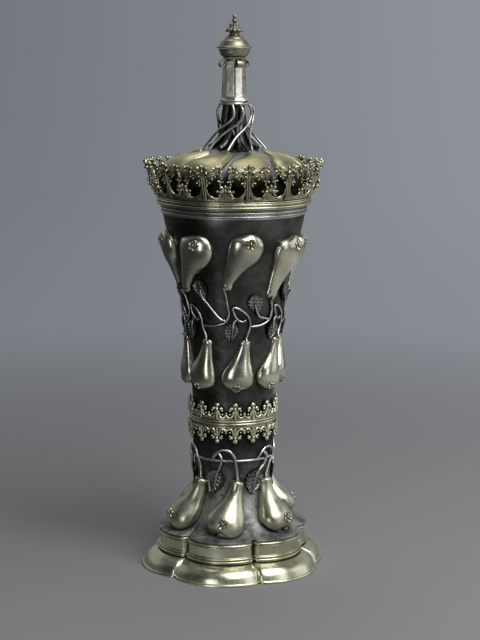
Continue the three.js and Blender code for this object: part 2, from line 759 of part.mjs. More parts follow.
// One twig of the cup: an upper pear's stem runs down to a fork and joins a lower pear's hooked
// stem. The turns are from the lower pear's neck, and hookReach is from the fork.
function sprig(angle, toUpper, upperRise, hookReach, index) {
  const wall = CUP_PROFILE;
  const height = cupHeight(0.458);
  const fork = SPRIG_FORKS[index];
  const upperStem = [
    [toUpper, height + 16.9 + upperRise, 0.6],
    [toUpper + 2.5, height + 12.8],
    [toUpper + 3.5, height + 9],
    [toUpper, height + 3.6],
    [THREE.MathUtils.lerp(fork, toUpper, 0.6), height + 0.9],
    [fork + 0.5, height],
  ];
  const hook = [[0, 0], [0.04, 4], [0.14, 6.9], [0.46, 10.5], [0.82, 12.7], [1, 12.6], [0.93, 8.5],
    [0.77, 5.4], [0.5, 3.6], [0.25, 4.5]];
  const lowerStem = [
    [0, height - 7.1, 0.6],
    [fork * 0.55, height - 4],
    ...hook.map(([share, rise]) => [fork - hookReach * share, height + rise]),
  ];
  const leafTurn = SPRIG_LEAF_TURNS[index];
  const leafBottom = height + SPRIG_LEAF_RISES[index];
  const stalk = [
    [toUpper - 0.5, height + 4.3, 0.2],
    [toUpper * 0.75, height + 5.3],
    [leafTurn + 8, leafBottom - 1.5],
    [leafTurn + 4.5, leafBottom + 2],
  ];
  const leaf = {
    angle: angle + leafTurn,
    height: leafBottom + SPRIG_LEAF_LENGTH,
    length: SPRIG_LEAF_LENGTH,
    width: 8.4,
    lean: 16,
  };
  const lowTurn = fork - hookReach;
  const lowStalk = [
    [fork - hookReach * 0.77, height + 5.4],
    [lowTurn + 1, height + 3],
    [lowTurn, height - 0.5],
  ];
  const lowLeaf = { angle: angle + lowTurn, height: height + 1.5, length: 11, width: 7.4, lean: -8 };
  return join([
    twigOver(wall, upperStem, angle, 7),
    twigOver(wall, lowerStem, angle, 13),
    twigOver(wall, stalk, angle, 5),
    twigOver(wall, lowStalk, angle, 3),
    leafOver(wall, leaf),
    leafOver(wall, lowLeaf),
  ]);
}

// Openwork crestings

// One period of a flat outline, drawn for its right half and mirrored to the left
function mirroredPeriod(rightHalf) {
  const left = rightHalf.filter(([x]) => x > 0).map(([x, y]) => [-x, y]).reverse();
  return [...rightHalf, ...left];
}

// Bends flat periods round the axis: x runs round it, and y goes up the sheet
function crestingRing(period, holes, periods, place) {
  const outline = period.map((corner) => new THREE.Vector2(...corner));
  const openings = holes.map((hole) => hole.map((corner) => new THREE.Vector2(...corner)));
  const flat = [...outline, ...openings.flat()];
  const triangles = THREE.ShapeUtils.triangulateShape(outline, openings);
  const halfWidth = Math.max(...outline.map((corner) => corner.x));
  const points = [];
  const faces = [];
  const onSeam = (a, b) => Math.abs(Math.abs(a.x) - halfWidth) < 1e-6 && Math.abs(a.x - b.x) < 1e-6;
  for (let turn = 0; turn < periods; turn++) {
    const middle = place.phase + turn * 360 / periods;
    const start = points.length;
    for (const depth of [0, place.sheet]) {
      for (const corner of flat) {
        const degrees = middle + corner.x / halfWidth * 180 / periods;
        points.push(polar(place.radiusAt(corner.y) - depth, degrees, place.heightAt(corner.y)));
      }
    }
    for (const [a, b, c] of triangles) {
      faces.push([start + a, start + b, start + c]);
      faces.push([start + flat.length + a, start + flat.length + c, start + flat.length + b]);
    }
    let first = start;
    for (const loop of [outline, ...openings]) {
      loop.forEach((corner, index) => {
        const next = (index + 1) % loop.length;
        if (!onSeam(corner, loop[next])) {
          const [a, b] = [first + index, first + next];
          faces.push([a, a + flat.length, b + flat.length], [a, b + flat.length, b]);
        }
      });
      first += loop.length;
    }
  }
  const geometry = new THREE.BufferGeometry().setFromPoints(points);
  geometry.setIndex(faces.flat());
  return closedGeometry(geometry);
}

// A fleur on a bowl of twigs: across the half period, and up in shares of the cresting's height
const FLEUR_HALF = [
  [0, 0],
  [5.9, 0],
  [5.9, 0.21],
  [2.8, 0.114],
  [0.9, 0.333],
  [4.9, 0.412],
  [4.2, 0.623],
  [1.2, 0.579],
  [2.1, 0.816],
  [0, 1],
];

function waistCresting(edge, direction) {
  const radius = STEM_RADIUS + 0.4 + CRESTING_STAND_OFF + CRESTING_SHEET;
  return crestingRing(mirroredPeriod(FLEUR_HALF), [], CRESTING_PERIODS, {
    phase: 2.8,
    sheet: CRESTING_SHEET,
    radiusAt: () => radius,
    heightAt: (rise) => edge + direction * rise * CRESTING_HEIGHT,
  });
}

// The crown's top edge, with a leaf tuft on each rib and a smaller one between, drawn as the
// fleur is: across the half period, and up in shares of the crown's height
const CROWN_HALF = [
  [0, 0],
  [6.35, 0],
  [12.7, 0],
  [12.7, 1],
  [11.3, 0.889],
  [9.3, 0.94],
  [7.6, 0.812],
  [4.8, 0.889],
  [2.6, 0.803],
  [0, 0.966],
];

// The opening between a rib and the middle stalk, notched by the leaves that reach into it
const CROWN_OPENING = [
  [11.7, 0.35],
  [10.2, 0.137],
  [5.4, 0.081],
  [1.3, 0.231],
  [4.5, 0.291],
  [4.0, 0.419],
  [1.2, 0.444],
  [3.4, 0.692],
  [6.2, 0.573],
  [8.6, 0.735],
  [11.7, 0.573],
];

function crownCresting() {
  const opposite = CROWN_OPENING.map(([x, y]) => [-x, y]).reverse();
  return crestingRing(mirroredPeriod(CROWN_HALF), [CROWN_OPENING, opposite], CROWN_PERIODS, {
    phase: CROWN_PHASE,
    sheet: CROWN_SHEET,
    radiusAt: (rise) => CROWN_RADIUS + CROWN_FLARE * rise ** CROWN_FLARE_POWER,
    heightAt: (rise) => CROWN_BOTTOM + rise * CROWN_HEIGHT,
  });
}

// Rings, cup and cover

function waistRing() {
  const inner = STEM_RADIUS + 0.2 + SEAT_GAP;
  const outer = inner + WAIST_RING_DEPTH;
  const bottom = WAIST_HEIGHT - WAIST_RING_HEIGHT / 2;
  const reed = WAIST_RING_HEIGHT / 2;
  return turned(ringOf([
    [outer - 0.7, bottom],
    [outer, bottom + reed * 0.5],
    [outer - 0.6, bottom + reed],
    [outer, bottom + reed * 1.5],
    [outer - 0.7, bottom + reed * 2],
    [inner, bottom + reed * 2],
    [inner, bottom],
  ]));
}

function beakerBody() {
  const inside = CUP_PROFILE.slice(1).map(([radius, height]) => [radius - CUP_WALL, height]);
  return turned([
    [0, CUP_BOTTOM],
    ...CUP_PROFILE,
    ...inside.reverse(),
    [STEM_RADIUS + 0.1 - CUP_WALL, CUP_BOTTOM + CUP_FLOOR],
    [0, CUP_BOTTOM + CUP_FLOOR],
  ]);
}

function lipMoulding() {
  const inner = MOUTH_RADIUS + SEAT_GAP;
  const outer = inner + LIP_DEPTH;
  const top = LIP_BOTTOM + LIP_HEIGHT;
  return turned(ringOf([
    [outer - 1.0, LIP_BOTTOM],
    [outer - 0.1, LIP_BOTTOM + 1.3],
    [outer - 0.8, LIP_BOTTOM + 2.5],
    [outer, LIP_BOTTOM + 4.0],
    [outer - 0.4, top],
    [inner, top],
    [inner, LIP_BOTTOM],
  ]));
}

function coverRing() {
  const inner = BEZEL_RADIUS + SEAT_GAP;
  const outer = COVER_RING_RADIUS;
  const top = COVER_BOTTOM + COVER_RING_HEIGHT;
  return turned(ringOf([
    [outer - 0.9, COVER_BOTTOM],
    [outer, COVER_BOTTOM + 1.2],
    [outer - 0.9, COVER_BOTTOM + 2.5],
    [outer - 0.2, COVER_BOTTOM + 3.8],
    [outer - 0.5, top],
    [inner, top],
    [inner, COVER_BOTTOM],
  ]));
}

function coverBezel() {
  const bottom = CUP_TOP - BEZEL_DEPTH;
  const top = COVER_BOTTOM + COVER_RING_HEIGHT;
  const wall = seatAt(CUP_PROFILE, distanceWhere(CUP_PROFILE, 1, bottom)).point.x;
  const entry = wall - CUP_WALL - BEZEL_CLEARANCE;
  return turned(ringOf([
    [entry, bottom],
    [BEZEL_RADIUS, top],
    [BEZEL_RADIUS - BEZEL_WALL, top],
    [entry - BEZEL_WALL, bottom],
  ]));
}

function coverDome() {
  const inside = offsetProfile(DOME_PROFILE, -DOME_SHEET);
  inside[0][1] = CROWN_BOTTOM;
  inside[inside.length - 1] = [0, CROWN_BOTTOM + DOME_RISE - DOME_SHEET];
  return turned([...DOME_PROFILE].reverse().concat(inside));
}

// Finial pieces

function finialTrunk() {
  const bottom = FINIAL.trunk;
  const top = FINIAL.collar - SEAT_GAP;
  const trunk = turned([
    [0, top],
    [TRUNK_RADIUS - 0.2, top],
    [TRUNK_RADIUS + 0.2, bottom + TRUNK_HEIGHT * 0.6],
    [TRUNK_RADIUS + 1.4, bottom + TRUNK_HEIGHT * 0.4],
    [TRUNK_RADIUS + 4.6, bottom + TRUNK_HEIGHT * 0.21],
    [TRUNK_FOOT_RADIUS, bottom],
    [TRUNK_FOOT_RADIUS - 1.8, bottom + 0.6],
    [TRUNK_RADIUS + 2.6, bottom + TRUNK_HEIGHT * 0.195],
    [TRUNK_RADIUS - 0.8, bottom + TRUNK_HEIGHT * 0.4],
    [TRUNK_RADIUS - 1.8, bottom + TRUNK_HEIGHT * 0.6],
    [TRUNK_RADIUS - 1.8, top - 1.4],
    [0, top - 1.4],
  ], KNOP_SIDES);
  return mapVertices(trunk, (point) => {
    const twist = Math.atan2(point.x, -point.y) + (point.z - bottom) * 0.05;
    const swell = 1 + 0.07 * Math.cos(TRUNK_ROOTS * twist);
    point.x *= swell;
    point.y *= swell;
  });
}

// Pear stems that rise from the necks, wind round the trunk and curl in under the pillar
function finialStems() {
  const collarRadius = TRUNK_RADIUS + 2.4;
  const bottom = FINIAL.collar;
  const collar = turned(ringOf([
    [collarRadius, bottom],
    [collarRadius, bottom + 1.6],
    [collarRadius - 3.4, bottom + 1.6],
    [collarRadius - 3.4, bottom],
  ]), KNOP_SIDES);
  const stems = COVER_PEARS.angles.map((pear, index) => {
    const angle = pear + COVER_PEARS.lean[index];
    const wind = COVER_STEM_WINDS[index];
    const proud = COVER_STEM_PROUD[index];
    const level = FINIAL.trunk;
    const foot = distanceWhere(DOME_PROFILE, 0, PEAR_NECK_RADIUS - 1.0);
    return wireAlong([
      overWall(DOME_PROFILE, foot, angle, SEAT_GAP + TWIG_DIAMETER / 2),
      polar(TRUNK_RADIUS + 6.2 + proud * 0.5, angle + wind * 0.16, level + TRUNK_HEIGHT * 0.28),
      polar(TRUNK_RADIUS + 3.1 + proud, angle + wind * 0.48, level + TRUNK_HEIGHT * 0.46),
      polar(TRUNK_RADIUS + 2.6 + proud, angle + wind * 0.82, level + TRUNK_HEIGHT * 0.61),
      polar(TRUNK_RADIUS + 3.4 + proud, angle + wind, level + TRUNK_HEIGHT * 0.775),
      polar(TRUNK_RADIUS + 3.2 + proud, angle + wind * 0.98, level + TRUNK_HEIGHT * 0.9),
      polar(collarRadius - 0.9, angle + wind * 0.93, bottom + 0.8),
    ], TWIG_DIAMETER, 9);
  });
  return join([collar, ...stems]);
}

// The pillar's plan: a regular polygon with one side facing the turn
function pillarPlan(radius) {
  const corners = evenAngles(PILLAR_SIDES, PILLAR_TURN + 180 / PILLAR_SIDES);
  const plan = new THREE.Shape();
  corners.forEach((angle, index) => {
    const corner = polar(radius, angle, 0);
    plan[index ? 'lineTo' : 'moveTo'](corner.x, corner.y);
  });
  plan.closePath();
  return plan;
}

function pillarPrism(radius, height, bottom) {
  const prism = new THREE.ExtrudeGeometry(pillarPlan(radius), { depth: height, bevelEnabled: false });
  return prism.translate(0, 0, bottom);
}

// A tapered shaft on a plinth, with a socket in its head for the finial's pin
function finialPillar() {
  const plinthHeight = 1.4;
  const shaft = pillarPrism(PILLAR_RADIUS, PILLAR_HEIGHT, FINIAL.pillar);
  mapVertices(shaft, (point) => {
    const rise = (point.z - FINIAL.pillar) / PILLAR_HEIGHT;
    const taper = THREE.MathUtils.lerp(1, PILLAR_TOP_RADIUS / PILLAR_RADIUS, rise);
    point.x *= taper;
    point.y *= taper;
  });
  const plinth = pillarPrism(PILLAR_RADIUS + 1.0, plinthHeight, FINIAL.pillar);
  const socketDepth = 8;
  const socket = new THREE.CylinderGeometry(PIN_RADIUS + SEAT_GAP, PIN_RADIUS + SEAT_GAP, 2 * socketDepth, 8);
  socket.rotateX(Math.PI / 2).translate(0, 0, FINIAL.pillar + PILLAR_HEIGHT);
  return toGeometry(toSolid(shaft).add(toSolid(plinth)).subtract(toSolid(socket)));
}

// A cap plate with four straps that curl out and down, one over every other side
function scrollCap() {
  const cap = pillarPrism(PILLAR_TOP_RADIUS + 0.2, 1.2, FINIAL.cap);
  const root = PILLAR_TOP_RADIUS * Math.cos(Math.PI / PILLAR_SIDES);
  const scrolls = evenAngles(4, PILLAR_TURN).map((angle) => {
    const outline = new THREE.Shape();
    outline.moveTo(root - 2, 1.0);
    outline.lineTo(root + 1.0, 0.8);
    outline.quadraticCurveTo(root + 3.5, -0.2, root + 3.2, -2.5);
    outline.quadraticCurveTo(root + 2.7, -4.2, root + 1.4, -3.6);
    outline.lineTo(root + 1.7, -2.7);
    outline.quadraticCurveTo(root + 2.3, -1.1, root + 1.0, -0.4);
    outline.lineTo(root - 2, 0.2);
    outline.closePath();
    const options = { depth: SCROLL_WIDTH, bevelEnabled: false, curveSegments: 3 };
    const strap = new THREE.ExtrudeGeometry(outline, options);
    strap.translate(0, 0, -SCROLL_WIDTH / 2).rotateX(Math.PI / 2);
    return strap.rotateZ(radians(angle - 90)).translate(0, 0, FINIAL.cap);
  });
  const bore = new THREE.CylinderGeometry(PIN_RADIUS + SEAT_GAP, PIN_RADIUS + SEAT_GAP, 8, 8);
  bore.rotateX(Math.PI / 2).translate(0, 0, FINIAL.cap);
  const whole = [cap, ...scrolls].map(toSolid).reduce((sum, next) => sum.add(next));
  return toGeometry(whole.subtract(toSolid(bore)));
}

function knopLower() {
  const bottom = FINIAL.knopLower;
  const top = bottom + KNOP_LOWER_HEIGHT;
  const bore = PIN_RADIUS + SEAT_GAP;
  return turned(ringOf([
    [bore, bottom],
    [PILLAR_TOP_RADIUS - 0.6, bottom],
    [PILLAR_TOP_RADIUS + 0.9, bottom + 2.0],
    [KNOP_RADIUS - 1.0, top - 0.9],
    [KNOP_RADIUS, top],
    [KNOP_RADIUS - 1.6, top],
    [PILLAR_TOP_RADIUS - 1.4, bottom + 1.6],
    [bore, bottom + 1.2],
  ]), KNOP_SIDES);
}

function knopUpper() {
  const bottom = FINIAL.knopUpper;
  const top = bottom + KNOP_UPPER_HEIGHT;
  const bore = PIN_RADIUS + SEAT_GAP;
  return turned(ringOf([
    [KNOP_RADIUS - 1.6, bottom],
    [KNOP_RADIUS, bottom],
    [KNOP_RADIUS - 1.2, bottom + 2.3],
    [KNOP_RADIUS - 3.2, bottom + 4.8],
    [PIN_RADIUS + 4.2, bottom + 7.0],
    [PIN_RADIUS + 2.1, top],
    [bore, top],
    [bore, bottom + 6.6],
    [KNOP_RADIUS - 4.4, bottom + 2.4],
  ]), KNOP_SIDES);
}

// The star-shaped disc, the bud and two balls, on the pin that runs down into the pillar
function finialSpire() {
  const bottom = FINIAL.spire;
  const discRadius = 5.7;
  const discPoints = 8;
  const pinLength = bottom - FINIAL.pillar - PILLAR_HEIGHT + 6;
  const turnedPart = turned([
    [0, bottom - pinLength],
    [PIN_RADIUS, bottom - pinLength],
    [PIN_RADIUS, bottom],
    [PIN_RADIUS + 2.0, bottom],
    [PIN_RADIUS + 2.2, bottom + SPIRE_HEIGHT * 0.05],
    [discRadius, bottom + SPIRE_HEIGHT * 0.15],
    [discRadius, bottom + SPIRE_HEIGHT * 0.24],
    [PIN_RADIUS + 2.0, bottom + SPIRE_HEIGHT * 0.37],
    [PIN_RADIUS + 1.8, bottom + SPIRE_HEIGHT * 0.5],
    [0.9, bottom + SPIRE_HEIGHT * 0.57],
    [1.5, bottom + SPIRE_HEIGHT * 0.68],
    [0.8, bottom + SPIRE_HEIGHT * 0.8],
    [1.3, bottom + SPIRE_HEIGHT * 0.9],
    [0.8, bottom + SPIRE_HEIGHT * 0.98],
    [0, bottom + SPIRE_HEIGHT],
  ], 2 * discPoints);
  return mapVertices(turnedPart, (point) => {
    const radius = Math.hypot(point.x, point.y);
    const turn = Math.atan2(point.x, -point.y) - radians(FIRST_CUSP);
    const pinch = radius > discRadius - 0.5 ? 0.86 + 0.14 * Math.cos(discPoints * turn) : 1;
    point.x *= pinch;
    point.y *= pinch;
  });
}

// Finishes

function gilt() {
  return new THREE.MeshStandardMaterial({ color: 0xc9c08a, roughness: 0.3, metalness: 1 });
}

function darkSilver() {
  return new THREE.MeshStandardMaterial({ color: 0x55554f, roughness: 0.5, metalness: 1 });
}

function brightSilver() {
  return new THREE.MeshStandardMaterial({ color: 0xc8c8c4, roughness: 0.3, metalness: 1 });
}

// Assembly

const beaker = new THREE.Group();

function place(name, geometry, material) {
  const mesh = new THREE.Mesh(closedGeometry(geometry), material);
  mesh.name = name;
  beaker.add(mesh);
}

place('foot_flange', footFlange(), gilt());
place('foot_lower_moulding', lowerMoulding(), gilt());
place('foot_riser', riser(), gilt());
place('foot_upper_moulding', upperMoulding(), gilt());
place('foot_trumpet', footTrumpet(), darkSilver());
FOOT_PEARS.angles.forEach((angle, index) => {
  place(`foot_pear_${index + 1}`, footPear(angle, FOOT_PEARS.lean[index]), gilt());
});
place('foot_garland', footGarland(), brightSilver());

place('waist_ring', waistRing(), gilt());
const waistEdge = WAIST_RING_HEIGHT / 2 + SEAT_GAP;
place('waist_cresting_upper', waistCresting(WAIST_HEIGHT + waistEdge, 1), gilt());
place('waist_cresting_lower', waistCresting(WAIST_HEIGHT - waistEdge, -1), gilt());

place('beaker_body', beakerBody(), darkSilver());
LOWER_PEARS.angles.forEach((angle, index) => {
  place(`lower_pear_${index + 1}`, lowerPear(angle, LOWER_PEARS.lean[index]), gilt());
});
UPPER_PEARS.angles.forEach((angle, index) => {
  place(`upper_pear_${index + 1}`, upperPear(angle, index), gilt());
});
const upperNecks = UPPER_PEARS.angles.map((angle, index) => angle + UPPER_PEARS.lean[index]);
LOWER_PEARS.angles.forEach((angle, index) => {
  const next = (index + 1) % upperNecks.length;
  const lowerNeck = angle + LOWER_PEARS.lean[index];
  const toNeighbour = turnBetween(upperNecks[index], lowerNeck + SPRIG_FORKS[index]);
  const hookReach = Math.min(toNeighbour - 8, SPRIG_HOOK_REACH);
  const toUpper = turnBetween(lowerNeck, upperNecks[next]);
  const twig = sprig(lowerNeck, toUpper, UPPER_PEARS.short[next], hookReach, index);
  place(`sprig_${index + 1}`, twig, brightSilver());
});
place('lip_moulding', lipMoulding(), brightSilver());

place('cover_ring', coverRing(), gilt());
place('cover_bezel', coverBezel(), brightSilver());
place('crown_cresting', crownCresting(), gilt());
place('cover_dome', coverDome(), darkSilver());
COVER_PEARS.angles.forEach((angle, index) => {
  place(`cover_pear_${index + 1}`, coverPear(angle, COVER_PEARS.lean[index]), gilt());
});
place('finial_trunk', finialTrunk(), darkSilver());
place('finial_stems', finialStems(), brightSilver());
place('finial_pillar', finialPillar(), brightSilver());
place('scroll_cap', scrollCap(), gilt());
place('knop_lower', knopLower(), gilt());
place('knop_upper', knopUpper(), gilt());
place('finial_spire', finialSpire(), gilt());

export default beaker;
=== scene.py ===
import math
from types import SimpleNamespace

import bmesh
import bpy
import numpy as np
from mathutils import Matrix, Vector


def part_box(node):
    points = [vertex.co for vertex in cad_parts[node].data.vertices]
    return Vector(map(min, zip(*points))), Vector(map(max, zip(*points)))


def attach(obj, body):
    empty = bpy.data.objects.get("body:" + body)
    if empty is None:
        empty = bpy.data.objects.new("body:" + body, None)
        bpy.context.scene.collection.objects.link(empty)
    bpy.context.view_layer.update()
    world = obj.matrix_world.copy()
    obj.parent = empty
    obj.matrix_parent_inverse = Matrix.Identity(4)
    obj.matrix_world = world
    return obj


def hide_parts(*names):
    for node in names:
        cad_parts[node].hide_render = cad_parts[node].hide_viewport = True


# A covered beaker in parcel-gilt silver: pears in relief on a flaring cup, hung on twigs.
# Shapes are worked out in millimetres, in the frame's axes, and made in metres.
# Angles are in degrees from the front, and grow towards +X.

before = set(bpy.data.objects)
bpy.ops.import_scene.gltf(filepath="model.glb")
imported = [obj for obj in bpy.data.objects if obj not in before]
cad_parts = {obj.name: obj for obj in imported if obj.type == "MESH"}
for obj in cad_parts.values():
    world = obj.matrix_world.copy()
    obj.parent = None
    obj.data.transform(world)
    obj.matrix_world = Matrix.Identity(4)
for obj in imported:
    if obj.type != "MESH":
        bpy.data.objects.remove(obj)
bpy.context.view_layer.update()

MM = 0.001
FINE_TURN = np.linspace(0, 360, 240, endpoint=False)
COARSE_TURN = np.linspace(0, 360, 96, endpoint=False)
WIRE_SIDES = 10
START_FACING = (0.31, 0.2, 0.93)
SEAT_GAP = 0.3
TANGENT_REACH = 2.0
SHEET = 1.2


# Measures of the frame


def bottom(node):
    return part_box(node)[0].z / MM


def top(node):
    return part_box(node)[1].z / MM


def ends(node):
    return bottom(node), top(node)


def reach(node):
    """The largest distance of a node from the beaker's axis."""
    points = np.array([v.co[:2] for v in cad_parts[node].data.vertices])
    return np.hypot(points[:, 0], points[:, 1]).max() / MM


# Curves and walls


def polar(radius, degrees, height):
    turn = np.radians(degrees)
    parts = np.broadcast_arrays(radius * np.sin(turn), -radius * np.cos(turn), height)
    return np.stack(parts, axis=-1)


def circle(steps):
    return np.linspace(0, 2 * math.pi, steps, endpoint=False)


def unit(vectors):
    return vectors / np.maximum(np.linalg.norm(vectors, axis=-1, keepdims=True), 1e-9)


def smooth(points, steps):
    """A smooth curve through the points, with the given steps to each span."""
    points = np.asarray(points, float)
    spread = np.vstack([2 * points[0] - points[1], points, 2 * points[-1] - points[-2]])
    gaps = np.maximum(np.linalg.norm(np.diff(spread, axis=0), axis=1), 1e-6) ** 0.5
    share = (np.arange(steps) / steps)[:, None]
    curve = []
    for i in range(1, len(spread) - 2):
        before, here, there, after = spread[i - 1:i + 3]
        first, middle, last = gaps[i - 1:i + 2]
        leave = (here - before) / first - (there - before) / (first + middle) + (there - here) / middle
        arrive = (there - here) / middle - (after - here) / (middle + last) + (after - there) / last
        leave, arrive = leave * middle, arrive * middle
        square = 3 * (there - here) - 2 * leave - arrive
        cube = 2 * (here - there) + leave + arrive
        curve.append(here + leave * share + square * share ** 2 + cube * share ** 3)
    return np.vstack([*curve, points[-1:]])


def runs(*parts, steps=6):
    """An outline of smooth runs, each of which starts at the corner where the one before it ends."""
    outline, corner = [], []
    for part in parts:
        points = corner + [list(point) for point in part]
        outline.append(smooth(points, steps if len(points) > 2 else 1))
        corner = points[-1:]
    return np.vstack(outline)


def near(radius, height, *steps):
    """Points of an outline, given as steps from a radius and a height."""
    return [[radius + out, height + rise] for out, rise in steps]


def shifted(outline, offset):
    """An outline of radius and height moved along its own normals."""
    along = unit(np.gradient(outline, axis=0))
    moved = outline + offset * np.stack([along[:, 1], -along[:, 0]], axis=-1)
    moved[:, 0] = np.maximum(moved[:, 0], 0)
    return moved


class Wall:
    """A wall of revolution, given by its outer outline from its start upwards."""

    def __init__(self, outline):
        self.outline = smooth(outline, 8)
        spans = np.linalg.norm(np.diff(self.outline, axis=0), axis=1)
        self.walked = np.concatenate([[0], np.cumsum(spans)])

    def at(self, distance):
        columns = [np.interp(distance, self.walked, self.outline[:, k]) for k in (0, 1)]
        return np.stack(columns, axis=-1)

    def tangent(self, distance):
        return unit(self.at(np.add(distance, TANGENT_REACH)) - self.at(np.subtract(distance, TANGENT_REACH)))

    def where(self, axis, value):
        """The first distance at which the radius, axis 0, or the height, axis 1, has a value."""
        column = self.outline[:, axis] - value
        crossed = np.nonzero(column[:-1] * column[1:] <= 0)[0]
        i = crossed[0] if len(crossed) else len(column) - 2
        step = column[i + 1] - column[i]
        share = -column[i] / step if step else 0
        return self.walked[i] + share * (self.walked[i + 1] - self.walked[i])

    def over(self, distance, degrees, lift=0.0):
        """Points lifted from the wall along its normal."""
        tangent = self.tangent(distance)
        point = self.at(distance)
        radius = point[..., 0] + lift * tangent[..., 1]
        height = point[..., 1] - lift * tangent[..., 0]
        return polar(radius, degrees, height)

    def on(self, route, diameter, angle, level):
        """The points of a wire's route: turns and rises from an angle and a level, and lifts or none."""
        points = []
        for turn, rise, *lift in route:
            rest = SEAT_GAP + diameter / 2 + (lift[0] if lift else 0)
            points.append(self.over(self.where(1, level + rise), angle + turn, rest))
        return np.array(points)


# Meshes


class Shape:
    """Points in millimetres, and the faces between them."""

    def __init__(self):
        self.points = []
        self.faces = []
        self.count = 0

    def add(self, points, faces):
        """New points, and faces that count from the first of them."""
        points = np.asarray(points, float).reshape(-1, 3)
        self.faces.append(np.asarray(faces) + self.count)
        self.points.append(points)
        self.count += len(points)
        return self

    def add_grid(self, rows, wrap_rows=False, wrap_columns=False, capped=False):
        """Quads between rows of points, closed round either way, or capped at both end rows."""
        rows = np.asarray(rows, float)
        m, n = rows.shape[:2]
        i, j = np.meshgrid(np.arange(m if wrap_rows else m - 1),
                           np.arange(n if wrap_columns else n - 1), indexing="ij")
        here, there = i * n, (i + 1) % m * n
        beside = (j + 1) % n
        quads = np.stack([here + j, here + beside, there + beside, there + j], axis=-1)
        start = self.count
        self.add(rows, quads.reshape(-1, 4))
        if capped:
            for row in (0, m - 1):
                edge = start + row * n + np.arange(n) - self.count
                self.add(rows[row].mean(0), np.stack([edge, np.roll(edge, -1), 0 * edge], axis=-1))
        return self

    def mesh(self, name, crease):
        flat = [face for block in self.faces for face in block.tolist()]
        mesh = bpy.data.meshes.new(name)
        mesh.from_pydata((np.vstack(self.points) * MM).tolist(), [], flat)
        work = bmesh.new()
        work.from_mesh(mesh)
        bmesh.ops.remove_doubles(work, verts=work.verts, dist=0.004 * MM)
        bmesh.ops.dissolve_degenerate(work, edges=work.edges, dist=0.002 * MM)
        bmesh.ops.recalc_face_normals(work, faces=work.faces)
        work.to_mesh(mesh)
        work.free()
        mesh.shade_smooth()
        mesh.set_sharp_from_angle(angle=math.radians(crease))
        return mesh


def add_to_scene(name, data):
    made = bpy.data.objects.new(name, data)
    bpy.context.scene.collection.objects.link(made)
    return made


def piece(name, shape, body, material, *nodes, crease=38):
    """A visible piece that rides on a body and stands for the CAD nodes named."""
    made = add_to_scene(name, shape.mesh(name, crease))
    made.data.materials.append(material)
    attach(made, body)
    if nodes:
        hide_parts(*nodes)
    return made


def turned(outline, ring=True, change=None, degrees=FINE_TURN):
    """A turned wall; a ring's outline closes on itself, another's ends lie on the axis."""
    outline = np.asarray(outline, float)
    radius = np.broadcast_to(outline[:, 0], (len(degrees), len(outline)))
    height = np.broadcast_to(outline[:, 1], (len(degrees), len(outline)))
    if change:
        radius, height = change(radius, degrees[:, None], height)
    rows = polar(radius, degrees[:, None], height)
    return Shape().add_grid(rows, wrap_rows=True, wrap_columns=ring)


def add_ring(shape, outline):
    """A turned ring added to a shape that has other parts."""
    ring = turned(outline)
    return shape.add(ring.points[0], ring.faces[0])


def sweep(shape, path, radii, sides=WIRE_SIDES):
    """A round rod along a path, its radius given along it."""
    path = np.asarray(path, float)
    along = unit(np.gradient(path, axis=0))
    side = np.cross(along[0], START_FACING)
    turned_sides = []
    for direction in along:
        side = unit(side - direction * np.dot(side, direction))
        turned_sides.append(side)
    side = np.array(turned_sides)
    over = np.cross(along, side)
    turn = circle(sides)
    radii = np.broadcast_to(radii, len(path))[:, None, None]
    around = np.cos(turn)[:, None] * side[:, None] + np.sin(turn)[:, None] * over[:, None]
    shape.add_grid(path[:, None] + radii * around, wrap_columns=True, capped=True)
    return shape


def wire(shape, points, diameter, thin_from=1.0):
    """A drawn wire with rounded ends through the points, which may thin out from a share on."""
    path = smooth(points, 6)
    share = np.linspace(0, 1, len(path))
    thinning = np.clip((share - thin_from) / max(1 - thin_from, 1e-6), 0, 1)
    radii = diameter / 2 * (1 - 0.55 * thinning)
    radii[[0, -1]] *= 0.5
    return sweep(shape, path, radii)


def blob(shape, centre, axes, sides=10, rings=7):
    """An egg-shaped knob, with its three half axes given as vectors."""
    pitch = np.linspace(-math.pi / 2, math.pi / 2, rings)[1:-1]
    turn = circle(sides)
    local = np.stack(np.broadcast_arrays(
        np.cos(pitch)[:, None] * np.cos(turn), np.cos(pitch)[:, None] * np.sin(turn),
        np.sin(pitch)[:, None] + 0 * turn), axis=-1)
    shape.add_grid(np.asarray(centre) + local @ np.asarray(axes, float), wrap_columns=True, capped=True)
    return shape


# Driving sizes: the visual model's own, and then the frame's

GARLAND_WIRE = 1.9
TWIG_WIRE = 1.5
STEM_WIRE = 1.6
FIRST_CUSP = 18
FOOT_LOBES = 6
LOBE_SHARE_AT_GROUND = 0.377
LOBE_SHARE_AT_PLATE = 0.445
LOBES_FADE_OVER = 9
CUSP_GROOVE_DEPTH = (1.5, 3.0)
CUSP_GROOVE_HALF_ANGLE = (1.0, 2.0)
TRUNK_RADIUS = 7.6
TRUNK_FOOT_RADIUS = 16.8
PILLAR_RADIUS = 8.4
PILLAR_TOP_RADIUS = 7.5
PILLAR_SIDES = 8
PILLAR_TURN = 24
PILLAR_GROOVE = 2.4
PIN_HOLE = 1.5

